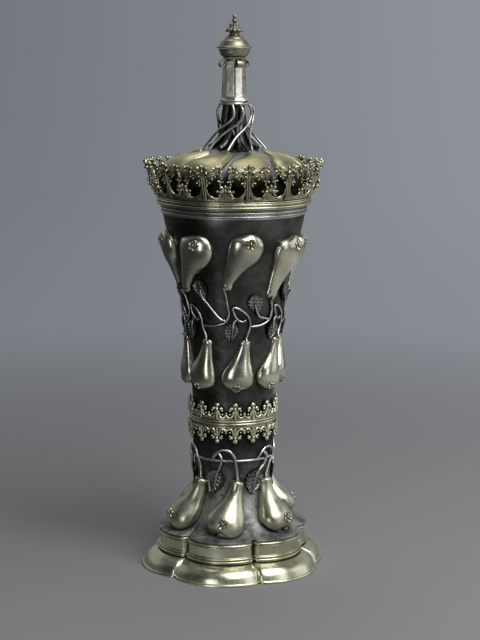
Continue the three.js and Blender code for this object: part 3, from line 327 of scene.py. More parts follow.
FLANGE_RADIUS = reach("foot_flange") + 0.2
RISER_RADIUS = reach("foot_riser") + 0.2
PLATE_BOTTOM = bottom("foot_trumpet")
PLATE_RADIUS = reach("foot_trumpet") + 0.2
WAIST_HEIGHT = top("foot_trumpet")
CUP_BOTTOM = bottom("beaker_body")
CUP_TOP = top("beaker_body")
MOUTH_RADIUS = reach("beaker_body")
STEM_RADIUS = reach("waist_ring") - 2.5
COVER_RING_RADIUS = reach("cover_ring")
CROWN_BOTTOM = bottom("crown_cresting")
CROWN_HEIGHT = top("crown_cresting") - CROWN_BOTTOM
CROWN_RADIUS = COVER_RING_RADIUS - 0.4
CROWN_FLARE = reach("crown_cresting") - CROWN_RADIUS
DOME_RADIUS = reach("cover_dome")
DOME_RISE = top("cover_dome") - CROWN_BOTTOM
TRUNK_BOTTOM = bottom("finial_trunk")
TRUNK_HEIGHT = top("finial_trunk") - TRUNK_BOTTOM

FOOT_WALL = Wall([
    [PLATE_RADIUS - 0.4, PLATE_BOTTOM + 1.0],
    [PLATE_RADIUS - 6.2, PLATE_BOTTOM + 2.2],
    [STEM_RADIUS + 12.0, PLATE_BOTTOM + 4.8],
    [STEM_RADIUS + 7.0, PLATE_BOTTOM + 8.8],
    [STEM_RADIUS + 3.1, PLATE_BOTTOM + 14.7],
    [STEM_RADIUS + 0.2, PLATE_BOTTOM + 22.0],
    [STEM_RADIUS - 1.9, PLATE_BOTTOM + 32.0],
    [STEM_RADIUS - 1.2, PLATE_BOTTOM + 43.0],
    [STEM_RADIUS, WAIST_HEIGHT - 18],
    [STEM_RADIUS, WAIST_HEIGHT],
])

# The cup's flare from stem to mouth: share of the widening, and share of the cup's height
CUP_FLARE = [
    (0.005, 0), (0.026, 0.118), (0.097, 0.218), (0.19, 0.362), (0.313, 0.505), (0.431, 0.614),
    (0.579, 0.721), (0.754, 0.815), (0.918, 0.901), (1, 0.958), (1, 1),
]


def cup_height(share):
    return CUP_BOTTOM + (CUP_TOP - CUP_BOTTOM) * share


CUP_WALL = Wall([[STEM_RADIUS + (MOUTH_RADIUS - STEM_RADIUS) * widening, cup_height(rise)]
                 for widening, rise in CUP_FLARE])

DOME_WALL = Wall([
    [DOME_RADIUS - inward, CROWN_BOTTOM + DOME_RISE * rise]
    for inward, rise in (
        (0, 0), (0.3, 0.19), (1.9, 0.38), (5.0, 0.53), (9.8, 0.65), (16.4, 0.75), (24.4, 0.84),
        (36.4, 0.95), (DOME_RADIUS, 1))
])


def lobed(radius, degrees, height):
    """The foot's plan of six overlapping circles, creased at the cusps and round at the stem."""
    rise = np.clip(height / PLATE_BOTTOM, 0, 1)
    fade = np.clip(1 - (height - PLATE_BOTTOM - 1) / LOBES_FADE_OVER, 0, 1)
    share = (LOBE_SHARE_AT_GROUND + (LOBE_SHARE_AT_PLATE - LOBE_SHARE_AT_GROUND) * rise) * fade
    period = 360 / FOOT_LOBES
    from_tip = (degrees - FIRST_CUSP) % period - period / 2
    turn = np.radians(from_tip)
    stretch = share * np.cos(turn) + np.sqrt((1 - share) ** 2 - (share * np.sin(turn)) ** 2)
    from_cusp = period / 2 - np.abs(from_tip)
    depth = np.interp(rise, (0, 1), CUSP_GROOVE_DEPTH)
    width = np.interp(rise, (0, 1), CUSP_GROOVE_HALF_ANGLE)
    crease = depth * fade ** 3 * np.exp(-(from_cusp / width) ** 2)
    return radius * stretch - crease, height


def foot_turn():
    """Angles round the foot, crowded together at the cusps between its lobes."""
    steps, crowding = 60, 0.82
    share = np.arange(steps) / steps
    eased = share - crowding * np.sin(2 * math.pi * share) / (2 * math.pi)
    lobes = np.arange(FOOT_LOBES)[:, None]
    return (FIRST_CUSP + 360 / FOOT_LOBES * (lobes + eased)).ravel()


FOOT_TURN = foot_turn()


# Materials


class Graph:
    """A material's node tree, with its principled shader."""

    def __init__(self, name, slot):
        self.material = bpy.data.materials.new(name)
        self.material.use_nodes = True
        self.material["slot"] = slot
        self.tree = self.material.node_tree
        self.shader = self.tree.nodes["Principled BSDF"]

    def node(self, kind, settings=None, **inputs):
        made = self.tree.nodes.new("ShaderNode" + kind)
        for key, value in (settings or {}).items():
            setattr(made, key, value)
        for key, value in inputs.items():
            self.put(made.inputs[key.replace("_", " ")], value)
        return made

    def put(self, socket, value):
        if isinstance(value, bpy.types.NodeSocket):
            self.tree.links.new(value, socket)
        else:
            socket.default_value = (*value, 1.0) if socket.type == "RGBA" else value

    def place(self, scale=(1, 1, 1)):
        """The place in the object, in metres, stretched if need be."""
        coordinates = self.node("TexCoord").outputs["Object"]
        return self.node("Mapping", Vector=coordinates, Scale=scale).outputs["Vector"]

    def noise(self, scale, detail, roughness, stretch=(1, 1, 1)):
        return self.node("TexNoise", Vector=self.place(stretch), Scale=scale, Detail=detail,
                         Roughness=roughness).outputs["Fac"]

    def span(self, value, low, high, to_low=0.0, to_high=1.0):
        return self.node("MapRange", {"interpolation_type": "SMOOTHSTEP"}, Value=value, From_Min=low,
                         From_Max=high, To_Min=to_low, To_Max=to_high).outputs["Result"]

    def math(self, operation, a, b):
        made = self.node("Math", {"operation": operation})
        self.put(made.inputs[0], a)
        self.put(made.inputs[1], b)
        return made.outputs[0]

    def mix(self, share, first, second):
        """A mix of two colours, whose sockets go by number, because others have the same names."""
        made = self.node("Mix", {"data_type": "RGBA"})
        self.put(made.inputs["Factor"], share)
        self.put(made.inputs[6], first)
        self.put(made.inputs[7], second)
        return made.outputs[2]

    def fade(self, value, low, high, first, second):
        return self.mix(self.span(value, low, high), first, second)

    def bump(self, height, depth, strength, normal=None):
        """A bump of the depth given in millimetres."""
        made = self.node("Bump", Height=height, Distance=depth * MM, Strength=strength)
        if normal is not None:
            self.put(made.inputs["Normal"], normal)
        return made.outputs["Normal"]

    def hollows(self, distance, low, high):
        """1 in the recesses of the surface, 0 in the open."""
        made = self.node("AmbientOcclusion", {"samples": 6}, Distance=distance)
        return self.span(made.outputs["AO"], low, high, 1.0, 0.0)


SPOT_SCALE = 420.0
SCRATCH_SCALE = 900.0
SCRATCH_DEPTH = 0.03
PIT_SCALE = 1500.0


def metal(name, slot, pale, deep, look):
    """Old silver: tinted patches, recesses tarnished and darkened with painted shade, hammer marks, scratches
    and pits.
    """
    look = SimpleNamespace(**look)
    graph = Graph(name, slot)
    cloud = graph.span(graph.noise(look.patch_scale, 5.0, 0.6), 0.35, 0.68)
    tint = graph.mix(cloud, pale, deep)
    spots = graph.span(graph.noise(SPOT_SCALE, 3.0, 0.7), 0.60, 0.74)
    smears = graph.span(graph.noise(look.patch_scale * 1.7, 6.0, 0.75), 0.56, 0.72)
    # Recesses are tarnished and darkened with painted shade.
    hollow = graph.hollows(look.hollow_reach * MM, 0.30, look.hollow_start)
    dirt = graph.math("MAXIMUM", graph.math("MULTIPLY", spots, look.spotting),
                      graph.math("MULTIPLY", smears, look.smearing))
    dirt_and_shade = graph.math("MAXIMUM", hollow, dirt)
    # Darkening between two heights: on the cover it is painted shade near the crown's foot, on the foot's
    # stem it darkens towards the top.
    if look.soot:
        place = graph.node("TexCoord").outputs["Object"]
        height = graph.node("SeparateXYZ", Vector=place).outputs["Z"]
        unchanged_at, black = look.soot
        dirt_and_shade = graph.math("MAXIMUM", dirt_and_shade, graph.span(height, unchanged_at * MM, black * MM))
    graph.put(graph.shader.inputs["Base Color"], graph.mix(dirt_and_shade, tint, look.tarnish))
    graph.shader.inputs["Metallic"].default_value = 1.0
    rubbed = graph.noise(look.patch_scale * 2.3, 6.0, 0.65)
    polish = graph.span(rubbed, 0.3, 0.72, look.smooth, look.rough)
    rough = graph.math("ADD", polish, graph.math("MULTIPLY", dirt_and_shade, 0.22))
    graph.put(graph.shader.inputs["Roughness"], rough)
    hammer = graph.node("TexVoronoi", {"feature": "SMOOTH_F1"}, Vector=graph.place(),
                        Scale=look.hammer_scale, Smoothness=0.8).outputs["Distance"]
    normal = graph.bump(hammer, look.hammer_depth, 0.6)
    normal = graph.bump(graph.noise(look.hammer_scale * 0.7, 2.0, 0.4), look.wave_depth, 0.7, normal)
    scratches = graph.noise(SCRATCH_SCALE, 2.0, 0.5, stretch=(1.0, 1.0, 0.08))
    normal = graph.bump(scratches, SCRATCH_DEPTH, 0.5, normal)
    normal = graph.bump(graph.noise(PIT_SCALE, 3.0, 0.6), look.pit_depth, 0.5, normal)
    graph.put(graph.shader.inputs["Normal"], normal)
    return graph.material


# Heights at which the metal keeps its colour and at which it is black: on the cover a painted shade that
# deepens down to the crown's foot, on the foot's stem a darkening towards the top
COVER_PAINTED_SHADE = (CROWN_BOTTOM + 25, CROWN_BOTTOM + 12)
STEM_DARKENING = (PLATE_BOTTOM + 19.2, PLATE_BOTTOM + 67.2)

# Lengths are in millimetres, and scales in waves or dents to the metre
# The dark colour in each look stands for tarnish and dirt, and also paints shade in the recesses and, on the
# cover, near the crown's foot; hollow_reach and hollow_start set how far and how strongly the recesses
# darken.
GILT_LOOK = dict(
    tarnish=(0.07, 0.066, 0.045), patch_scale=38.0, spotting=0.35, smearing=0.35, hollow_reach=3.2,
    hollow_start=0.86, smooth=0.22, rough=0.38, hammer_scale=120.0, hammer_depth=0.04,
    wave_depth=0.12, pit_depth=0.02, soot=None)
# On the dark silver the recesses darken over a wide reach, so the cup is black beside its pears: tarnish and
# painted shade.
DARK_LOOK = dict(
    tarnish=(0.014, 0.015, 0.012), patch_scale=46.0, spotting=0.4, smearing=0.3, hollow_reach=6.0,
    hollow_start=0.95, smooth=0.29, rough=0.46, hammer_scale=210.0, hammer_depth=0.10,
    wave_depth=0.35, pit_depth=0.05, soot=None)


def gilding(name, pale, deep, **changes):
    return metal(name, "gilt", pale, deep, GILT_LOOK | changes)


def silver(name, pale, deep, **changes):
    return metal(name, "dark_silver", pale, deep, DARK_LOOK | changes)


GILT = gilding("pale_gilding", (0.79, 0.785, 0.61), (0.62, 0.61, 0.42))
FRUIT_GILT = gilding(
    "satin_gilding", (0.64, 0.64, 0.50), (0.44, 0.435, 0.32), patch_scale=60.0, smooth=0.27,
    rough=0.46, hammer_scale=90.0, wave_depth=0.3)
WARM_GILT = gilding(
    "warm_gilding", (0.60, 0.57, 0.355), (0.45, 0.415, 0.235), tarnish=(0.03, 0.03, 0.022),
    smearing=0.3, smooth=0.32, rough=0.48, soot=COVER_PAINTED_SHADE)
WORN_GILT = gilding("worn_gilding", (0.75, 0.75, 0.63), (0.50, 0.49, 0.38), smooth=0.16, rough=0.32)
FINIAL_GILT = gilding(
    "finial_gilding", (0.39, 0.38, 0.28), (0.25, 0.24, 0.165), tarnish=(0.03, 0.03, 0.022),
    patch_scale=90.0, hollow_start=0.95, smooth=0.34, rough=0.50)
PILLAR_GILT = gilding(
    "rubbed_gilding", (0.72, 0.72, 0.64), (0.42, 0.42, 0.36), patch_scale=90.0, smearing=0.5,
    hollow_reach=1.3, hollow_start=0.97, hammer_scale=300.0, hammer_depth=0.08)
# The crown's gilding is darker than the other gilding, partly its own tone and partly painted shade, and its
# recesses take stronger tarnish and painted shade.
CROWN_GILT = gilding(
    "crown_gilding", (0.62, 0.61, 0.45), (0.38, 0.36, 0.23), tarnish=(0.028, 0.028, 0.02),
    hollow_reach=4.0, hollow_start=0.97, smooth=0.16, rough=0.30)
CALYX_GILT = gilding(
    "calyx_gilding", (0.62, 0.60, 0.45), (0.40, 0.38, 0.25), tarnish=(0.03, 0.028, 0.018),
    hollow_reach=2.2, hollow_start=0.98)
DARK_SILVER = silver("dark_silver", (0.125, 0.129, 0.117), (0.042, 0.044, 0.039))
FOOT_SILVER = silver(
    "foot_silver", (0.36, 0.37, 0.35), (0.13, 0.135, 0.125), tarnish=(0.03, 0.032, 0.03),
    patch_scale=105.0, spotting=0.75, smearing=0.7, hollow_reach=5.0, hollow_start=0.9, smooth=0.52,
    rough=0.78, wave_depth=0.6, soot=STEM_DARKENING)
DOME_SILVER = silver(
    "dome_silver", (0.58, 0.57, 0.63), (0.38, 0.38, 0.44), smearing=0.1, hollow_reach=3.0,
    smooth=0.30, rough=0.44, wave_depth=0.2, soot=COVER_PAINTED_SHADE)
LEAF_SILVER = silver(
    "leaf_silver", (0.26, 0.27, 0.25), (0.11, 0.115, 0.105), hollow_reach=1.4, smooth=0.26, rough=0.40)
BRIGHT_SILVER = metal("bright_silver", "bright_silver", (0.66, 0.66, 0.63), (0.44, 0.44, 0.41), dict(
    tarnish=(0.05, 0.05, 0.045), patch_scale=60.0, spotting=0.35, smearing=0.3, hollow_reach=2.6,
    hollow_start=0.9, smooth=0.22, rough=0.38, hammer_scale=240.0, hammer_depth=0.05,
    wave_depth=0.1, pit_depth=0.03, soot=None))


# Foot


def foot_ring(name, outline, material, node):
    """A wall turned in the foot's lobed plan."""
    piece(name, turned(outline, change=lobed, degrees=FOOT_TURN), "beaker", material, node)


def foot_flange():
    rim = FLANGE_RADIUS
    high = top("foot_flange")
    outline = runs(
        [[rim, 0], [rim, 1.2]],
        [[rim - 0.4, 1.7], [rim - 1.1, 1.8]],
        [[rim - 1.5, 3.0], [rim - 2.4, 5.2], [rim - 3.9, 7.3], [rim - 6.0, 9.0], [rim - 8.4, 10.1],
         [RISER_RADIUS + 1.9, high]],
        [[RISER_RADIUS - 1.0, high]],
        [[RISER_RADIUS - 0.8, high - SHEET]],
        [[rim - 6.6, 7.6], [rim - 3.6, 4.8], [rim - 2.7, 1.2]],
        [[rim - 4.0, 0]],
    )
    foot_ring("foot_flange_skin", outline, GILT, "foot_flange")


def reeded(low, high, base, inward, *reeds):
    """A moulding's outline. Each round reed is given as a radius from the base, a height from the
    bottom, or from the top if negative, and half a thickness."""
    turn = np.linspace(-math.pi / 2, math.pi / 2, 9)
    outline = [[base - inward, low]]
    for out, rise, half in reeds:
        radius = base + out - half + half * np.cos(turn)
        height = (high if rise < 0 else low) + rise + half * np.sin(turn)
        outline.append(np.stack([radius, height], axis=-1))
    return np.vstack([*outline, [base - inward, high]])


def foot_mouldings():
    lower = reeded(*ends("foot_lower_moulding"), RISER_RADIUS, 1.4, (1.0, 0.5, 0.45), (1.8, 1.7, 0.7),
                   (0.9, 2.7, 0.3), (1.3, 3.4, 0.5), (0.4, -0.25, 0.25))
    foot_ring("foot_lower_reeds", lower, GILT, "foot_lower_moulding")
    upper = reeded(*ends("foot_upper_moulding"), RISER_RADIUS, 1.4, (0.8, 0.6, 0.5), (0.4, 1.3, 0.2),
                   (1.8, 2.2, 0.7), (0.9, -0.3, 0.3))
    foot_ring("foot_upper_reeds", upper, GILT, "foot_upper_moulding")
    low, high = bottom("foot_riser") - SEAT_GAP, top("foot_riser") + SEAT_GAP
    band = [[RISER_RADIUS, low], [RISER_RADIUS - 0.15, (low + high) / 2], [RISER_RADIUS, high],
            [RISER_RADIUS - SHEET, high], [RISER_RADIUS - SHEET, low]]
    foot_ring("foot_riser_band", band, GILT, "foot_riser")


def foot_trumpet():
    edge = [[PLATE_RADIUS - 2.4, PLATE_BOTTOM], [PLATE_RADIUS - 0.5, PLATE_BOTTOM],
            [PLATE_RADIUS, PLATE_BOTTOM + 0.4], [PLATE_RADIUS - 0.1, PLATE_BOTTOM + 0.8]]
    inside = shifted(FOOT_WALL.outline[6:], -SHEET)[::-1]
    foot_ring("foot_trumpet_wall", np.vstack([edge, FOOT_WALL.outline, inside]), FOOT_SILVER, "foot_trumpet")


# Pears


class Pear:
    """A pear on a wall, from its blossom end to its neck."""

    ARC = 26
    UNDER = 4

    def __init__(self, wall, distance, angle, stand, half_width, half_angle=90.0):
        self.wall = wall
        self.distance = distance
        self.angle = angle
        seat = wall.over(distance, angle)
        along = unit(np.gradient(seat, axis=0))
        up = polar(stand[:, 0], angle, stand[:, 1])
        self.height = np.linalg.norm(up, axis=1)
        self.up = unit(up)
        self.seat = seat
        self.across = unit(np.cross(along, self.up))
        self.half_width = half_width
        self.half_angle = math.radians(half_angle)
        self.ridge = seat + self.up * self.height[:, None]

    def beside(self, sideways, lift):
        """The wall's own points beside the pear's middle line."""
        flat = self.seat[:, None] + self.across[:, None] * sideways[..., None]
        degrees = np.degrees(np.arctan2(flat[..., 0], -flat[..., 1]))
        tangent = self.wall.tangent(self.distance)
        uphill = polar(tangent[:, 0], self.angle, tangent[:, 1])
        climb = (self.across * uphill).sum(1)
        return self.wall.over(self.distance[:, None] + sideways * climb[:, None], degrees, lift)

    def add_to(self, shape):
        turn = np.linspace(-self.half_angle, self.half_angle, self.ARC)
        bend = math.cos(self.half_angle)
        middle = (self.height * -bend / (1 - bend))[:, None]
        side = self.half_width[:, None] * np.sin(turn)
        raised = middle + (self.height[:, None] - middle) * np.cos(turn)
        across, up = self.across[:, None], self.up[:, None]
        skin = self.seat[:, None] + side[..., None] * across + raised[..., None] * up
        foot = self.beside(side[:, [0, -1]], -0.15)
        skin[:, 0], skin[:, -1] = foot[:, 0], foot[:, 1]
        share = np.linspace(1, -1, self.UNDER + 2)[1:-1]
        under = self.beside(side[:, -1:] * share, -0.5)
        return shape.add_grid(np.concatenate([skin, under], axis=1), wrap_columns=True, capped=True)

    def blossom(self, row):
        """Place and axes of the calyx: two directions along the skin and the one away from it."""
        along = unit(self.ridge[row + 1] - self.ridge[row - 1])
        out = np.cross(self.across[row], along)
        out = out if np.dot(out, self.up[row]) > 0 else -out
        return self.ridge[row], np.array([along, np.cross(out, along), out])


# A calyx's rings from its middle outwards: share of the petal's reach, rise, and the rise of its sides
CALYX_RINGS = ((0.1, 0.16, 0), (0.24, 0.03, 0.08), (0.42, 0.0, 0.2), (0.62, 0.04, 0.24), (0.78, 0.16, 0.14),
               (0.9, 0.28, 0.04), (1.0, 0.26, 0), (1.04, 0.1, 0), (0.98, -0.12, 0), (0.5, -0.3, 0))
CALYX_BEND = 0.035


def calyx(place, axes, radius):
    """A rosette of five hollow petals with raised rims, bent down over the fruit, round a knob."""
    along, across, out = axes
    turn = circle(60)
    from_middle = np.abs((turn / (2 * math.pi) * 5) % 1 * 2 - 1)
    edge = radius * (1 - 0.34 * from_middle ** 2.4)
    side = np.clip((from_middle - 0.55) / 0.4, 0, 1)
    outward = np.cos(turn)[:, None] * along + np.sin(turn)[:, None] * across
    rows = []
    for share, rise, side_rise in CALYX_RINGS:
        spoke = share * edge
        lift = radius * (rise + side_rise * side) - CALYX_BEND * spoke ** 2
        rows.append(place + spoke[:, None] * outward + lift[:, None] * out)
    shape = Shape().add_grid(np.array(rows), wrap_columns=True, capped=True)
    return blob(shape, place + 0.2 * radius * out, radius * 0.17 * np.eye(3))


def pear(form, node, material, blossom_row, calyx_radius):
    """A pear's skin with the calyx at its blossom end."""
    piece(node + "_skin", form.add_to(Shape()), "beaker", material, node, crease=PEAR_CREASE)
    petals = calyx(*form.blossom(blossom_row), calyx_radius)
    piece(node + "_calyx", petals, "beaker", CALYX_GILT, crease=PEAR_CREASE)


# A calyx has the row of its pear's stations that it sits on, and its radius
UPPER_CALYX = (13, 3.6)
LOWER_CALYX = (11, 2.9)
FOOT_CALYX = (14, 3.7)
PEAR_CREASE = 60

# Foot pears, in shares of their sizes: the height above the plate at which each station meets
# the wall, how far its ridge stands out from the stem and above that height, and half its width
FOOT_PEAR_TOP = 36.4
FOOT_PEAR_OUT = (RISER_RADIUS - STEM_RADIUS) * 0.85
FOOT_PEAR_LIFT = 4.2
FOOT_PEAR_HALF_WIDTH = 12.6
FOOT_PEAR_STATIONS = np.array([
    [0.069, 0.684, 0.14, 0.02], [0.077, 0.777, 0.24, 0.31], [0.096, 0.896, 0.48, 0.59],
    [0.126, 0.974, 0.64, 0.78], [0.17, 1.01, 0.79, 0.91], [0.258, 0.964, 1.02, 1.0],
    [0.346, 0.84, 1.02, 0.94], [0.445, 0.684, 0.88, 0.78], [0.555, 0.508, 0.71, 0.60],
    [0.67, 0.39, 0.52, 0.475], [0.8, 0.29, 0.29, 0.385], [0.88, 0.26, 0.21, 0.35],
    [0.93, 0.25, 0.18, 0.365], [0.965, 0.235, 0.15, 0.35], [0.985, 0.2, 0.13, 0.29],
    [0.997, 0.13, 0.1, 0.18], [1.002, 0.01, 0.05, 0.02],
])
FOOT_PEARS = {"angles": (-13, 52, 113, 169, 222, 290), "lean": (20, 0, 17, 12, 2, 21)}
LOWER_PEARS = {"angles": (2, 47, 92, 137, 182, 227, 272, 313), "lean": (12.5, 15, 11, 8, 10, 12, 9, 15)}
UPPER_PEARS = {"angles": (13.6, 60, 103.6, 148.6, 193.6, 238.6, 283.6, 329.6),
               "lean": (-22, -17.4, -16, -22, -18, -20, -24, -30),
               "width": (1, 1.18, 1, 1, 1, 1, 1, 1.08),
               "drop": (0, 3, 3.5, 2, 1, 1, 0.5, 1.2), "short": (6.5, 0, 1, 0, 2, 0, 1, 3)}
COVER_PEARS = {"angles": (11, 56, 101, 146, 191, 236, 281, 326), "lean": (22, 21, 21, 21, 20, 12, 27, 23)}


def necks(row):
    return [angle + lean for angle, lean in zip(row["angles"], row["lean"])]


def foot_pears():
    sizes = [FOOT_PEAR_TOP, FOOT_PEAR_OUT, FOOT_PEAR_LIFT, FOOT_PEAR_HALF_WIDTH]
    rise, out, lift, half_width = smooth(FOOT_PEAR_STATIONS * sizes, 3).T
    distance = np.array([FOOT_WALL.where(1, PLATE_BOTTOM + value) for value in rise])
    stand = np.stack([STEM_RADIUS + out - FOOT_WALL.at(distance)[:, 0], lift], axis=-1)
    share = (rise - rise[0]) / (rise[-1] - rise[0])
    for index, (angle, lean) in enumerate(zip(*FOOT_PEARS.values())):
        turn = angle + lean * np.clip(share, 0, 1) ** 0.8
        form = Pear(FOOT_WALL, distance, turn, stand, half_width, half_angle=112)
        pear(form, f"foot_pear_{index + 1}", FRUIT_GILT, *FOOT_CALYX)


# Relief pears: share of the way from blossom to neck, share of the relief, share of the width
RELIEF_STATIONS = (
    [0.0, 0.2, 0.02], [0.006, 0.34, 0.2], [0.025, 0.5, 0.4], [0.06, 0.68, 0.62], [0.11, 0.85, 0.82],
    [0.18, 0.98, 0.96], [0.26, 1.02, 1.0], [0.36, 0.97, 0.94], [0.48, 0.82, 0.76], [0.62, 0.63, 0.55],
    [0.78, 0.48, 0.4], [0.88, 0.42, 0.33], [0.93, 0.43, 0.34], [0.965, 0.38, 0.31], [0.985, 0.3, 0.24],
    [0.996, 0.2, 0.13], [1.0, 0.12, 0.02],
)
COVER_STATIONS = (
    [0.0, 0.2, 0.02], [0.006, 0.34, 0.22], [0.025, 0.5, 0.44], [0.06, 0.68, 0.68], [0.11, 0.85, 0.87],
    [0.18, 0.98, 0.98], [0.26, 1.02, 1.0], [0.36, 1.0, 0.96], [0.48, 0.9, 0.84], [0.62, 0.76, 0.66],
    [0.78, 0.58, 0.47], [0.92, 0.46, 0.35], [0.97, 0.4, 0.3], [0.99, 0.3, 0.19], [1.0, 0.16, 0.02],
)
# Shares of the cup's height at which its pears and the sprigs between them lie
UPPER_PEAR_ENDS = (0.586, 0.897)
LOWER_PEAR_ENDS = (0.151, 0.396)
SPRIG_LEVEL = 0.458
UPPER_SIZE = {"stations": RELIEF_STATIONS, "relief": 6.6, "half_width": 11.2, "bend_from": 0.0}
LOWER_SIZE = {"stations": RELIEF_STATIONS, "relief": 6.2, "half_width": 10.4, "bend_from": -0.2}
COVER_SIZE = {"stations": COVER_STATIONS, "relief": 4.8, "half_width": 14.4, "bend_from": 0.1}


def relief_pear(wall, start, end, angle, lean, size):
    share, relief, width = smooth(size["stations"], 3).T
    distance = start + (end - start) * share
    tangent = wall.tangent(distance)
    normal = np.stack([tangent[:, 1], -tangent[:, 0]], axis=-1)
    stand = normal * (relief * size["relief"])[:, None]
    eased = np.clip((share - size["bend_from"]) / (1.1 - size["bend_from"]), 0, 1)
    turn = angle + lean * eased ** 2 * (3 - 2 * eased)
    return Pear(wall, distance, turn, stand, width * size["half_width"])


def cup_pears():
    low, high = (CUP_WALL.where(1, cup_height(share)) for share in UPPER_PEAR_ENDS)
    for index, (angle, lean, width, drop, short) in enumerate(zip(*UPPER_PEARS.values())):
        size = UPPER_SIZE | {"half_width": UPPER_SIZE["half_width"] * width}
        form = relief_pear(CUP_WALL, high - drop, low + short, angle, lean, size)
        pear(form, f"upper_pear_{index + 1}", WORN_GILT, *UPPER_CALYX)
    low, high = (CUP_WALL.where(1, cup_height(share)) for share in LOWER_PEAR_ENDS)
    for index, (angle, lean) in enumerate(zip(*LOWER_PEARS.values())):
        form = relief_pear(CUP_WALL, low, high, angle, lean, LOWER_SIZE)
        pear(form, f"lower_pear_{index + 1}", WORN_GILT, *LOWER_CALYX)


# A cover pear starts this far above the crown's foot and ends this far outside the trunk's
COVER_PEAR_RISE = 6.5
COVER_PEAR_GAP = 3.6


def cover_pears():
    start = DOME_WALL.where(1, CROWN_BOTTOM + COVER_PEAR_RISE)
    end = DOME_WALL.where(0, TRUNK_FOOT_RADIUS + COVER_PEAR_GAP)
    for index, (angle, lean) in enumerate(zip(*COVER_PEARS.values())):
        node = f"cover_pear_{index + 1}"
        form = relief_pear(DOME_WALL, start, end, angle, lean, COVER_SIZE)
        piece(node + "_skin", form.add_to(Shape()), "cover", WARM_GILT, node, crease=PEAR_CREASE)


# Twigs, and leaves from their length, width and lean

FOOT_LEAF = (16.5, 11.4, -14)
UPPER_LEAF = (13, 9.0, 16)
LOWER_LEAF = (12, 8.0, -8)


def leaf(wall, angle, height, length, width, lean):
    """A toothed heart-shaped leaf laid on a wall, stalk end up, with a raised rim and veins."""
    rows, columns, teeth = 58, 21, 6
    lean = math.radians(lean)
    along = np.linspace(0, 1, rows)[:, None]
    across = np.linspace(-1, 1, columns)[None]
    envelope = np.sin(math.pi * along ** 0.66) ** 0.8
    tooth = 1 + 0.34 * (0.5 - (along * teeth) % 1) * (along > 0.06)
    half = width / 2 * np.maximum(envelope * tooth, 0.02)
    sideways = across * half
    down = along * length - 0.1 * width * np.abs(across) ** 2 * (1 - along) ** 2
    distance = wall.where(1, height) - down * math.cos(lean) + sideways * math.sin(lean)
    shift = down * math.sin(lean) + sideways * math.cos(lean)
    degrees = angle + np.degrees(shift / wall.at(distance)[..., 0])
    cupped = 0.7 * np.abs(across) ** 1.6 * envelope + 0.25 * np.sin(7 * along) * np.abs(across)
    rim = 0.4 * np.exp(-((1 - np.abs(across)) / 0.12) ** 2)
    midrib = 0.5 * np.exp(-(across / 0.12) ** 2)
    veins = 0.22 * np.cos((along * teeth - np.abs(across) * 1.4) * 2 * math.pi) * (1 - np.abs(across))
    lift = SEAT_GAP + 0.7 + cupped + rim + midrib + veins
    above = wall.over(distance, degrees, lift)
    below = wall.over(distance, degrees, SEAT_GAP + 0.1 + cupped)
    loop = np.concatenate([above, below[:, ::-1]], axis=1)
    return Shape().add_grid(loop, wrap_columns=True, capped=True)


GARLAND_DROP = 25.1


def foot_garland():
    ring = WAIST_HEIGHT - GARLAND_DROP
    neck = PLATE_BOTTOM + FOOT_PEAR_TOP - ring
    leaf_top = -9.2
    shape = Shape()
    hoop = [(turn, 0) for turn in np.linspace(0, 360, 73)]
    sweep(shape, FOOT_WALL.on(hoop, GARLAND_WIRE, 0, ring), GARLAND_WIRE / 2)
    for index, (angle, lean) in enumerate(zip(*FOOT_PEARS.values())):
        leaf_turn = lean * 0.3 - 16
        stem = [(lean, neck - 0.5, 2.0), (lean * 0.9 + 1, neck + 2.6, 1.2), (lean * 0.6 + 6, -5.5, 0.6),
                (15, 2.5, 1.2), (8, 6.7, 0.6), (-1, 7.3, 0.3), (-9.5, 4.7, 0.2), (-16.5, 0.4, 0.1)]
        stalk = [(-7.5, 5.3, 0.2), (-2, 2.1, 1.3), (-4, -2.9, 0.9), (leaf_turn + 1, leaf_top + 1.0, 0.9),
                 (leaf_turn - 2, leaf_top - 4.5, 0.5), (leaf_turn - 5, leaf_top - 10, 0.1)]
        for route, thin_from in ((stem, 1.0), (stalk, 0.55)):
            wire(shape, FOOT_WALL.on(route, GARLAND_WIRE, angle, ring), GARLAND_WIRE, thin_from)
        blade = leaf(FOOT_WALL, angle + leaf_turn, ring + leaf_top + 1.5, *FOOT_LEAF)
        piece(f"foot_leaf_{index + 1}", blade, "beaker", LEAF_SILVER)
    piece("foot_garland_wires", shape, "beaker", BRIGHT_SILVER, "foot_garland")


SPRIG_FORKS = (4.5, 7, 6, 5, 7, 6, 6, -5)
SPRIG_LEAF_TURNS = (7, 3, 2, 5, 1, 4, 3, -5)
SPRIG_LEAF_RISES = (8, 13, 11, 14, 10, 12.5, 12, 17)
HOOK_REACH = 22
HOOK_GAP = 8
SPRIG_HOOK = ((0, 0), (0.04, 4), (0.14, 6.9), (0.46, 10.5), (0.82, 12.7), (1, 12.6), (0.93, 8.5),
              (0.77, 5.4), (0.5, 3.6), (0.25, 4.5))


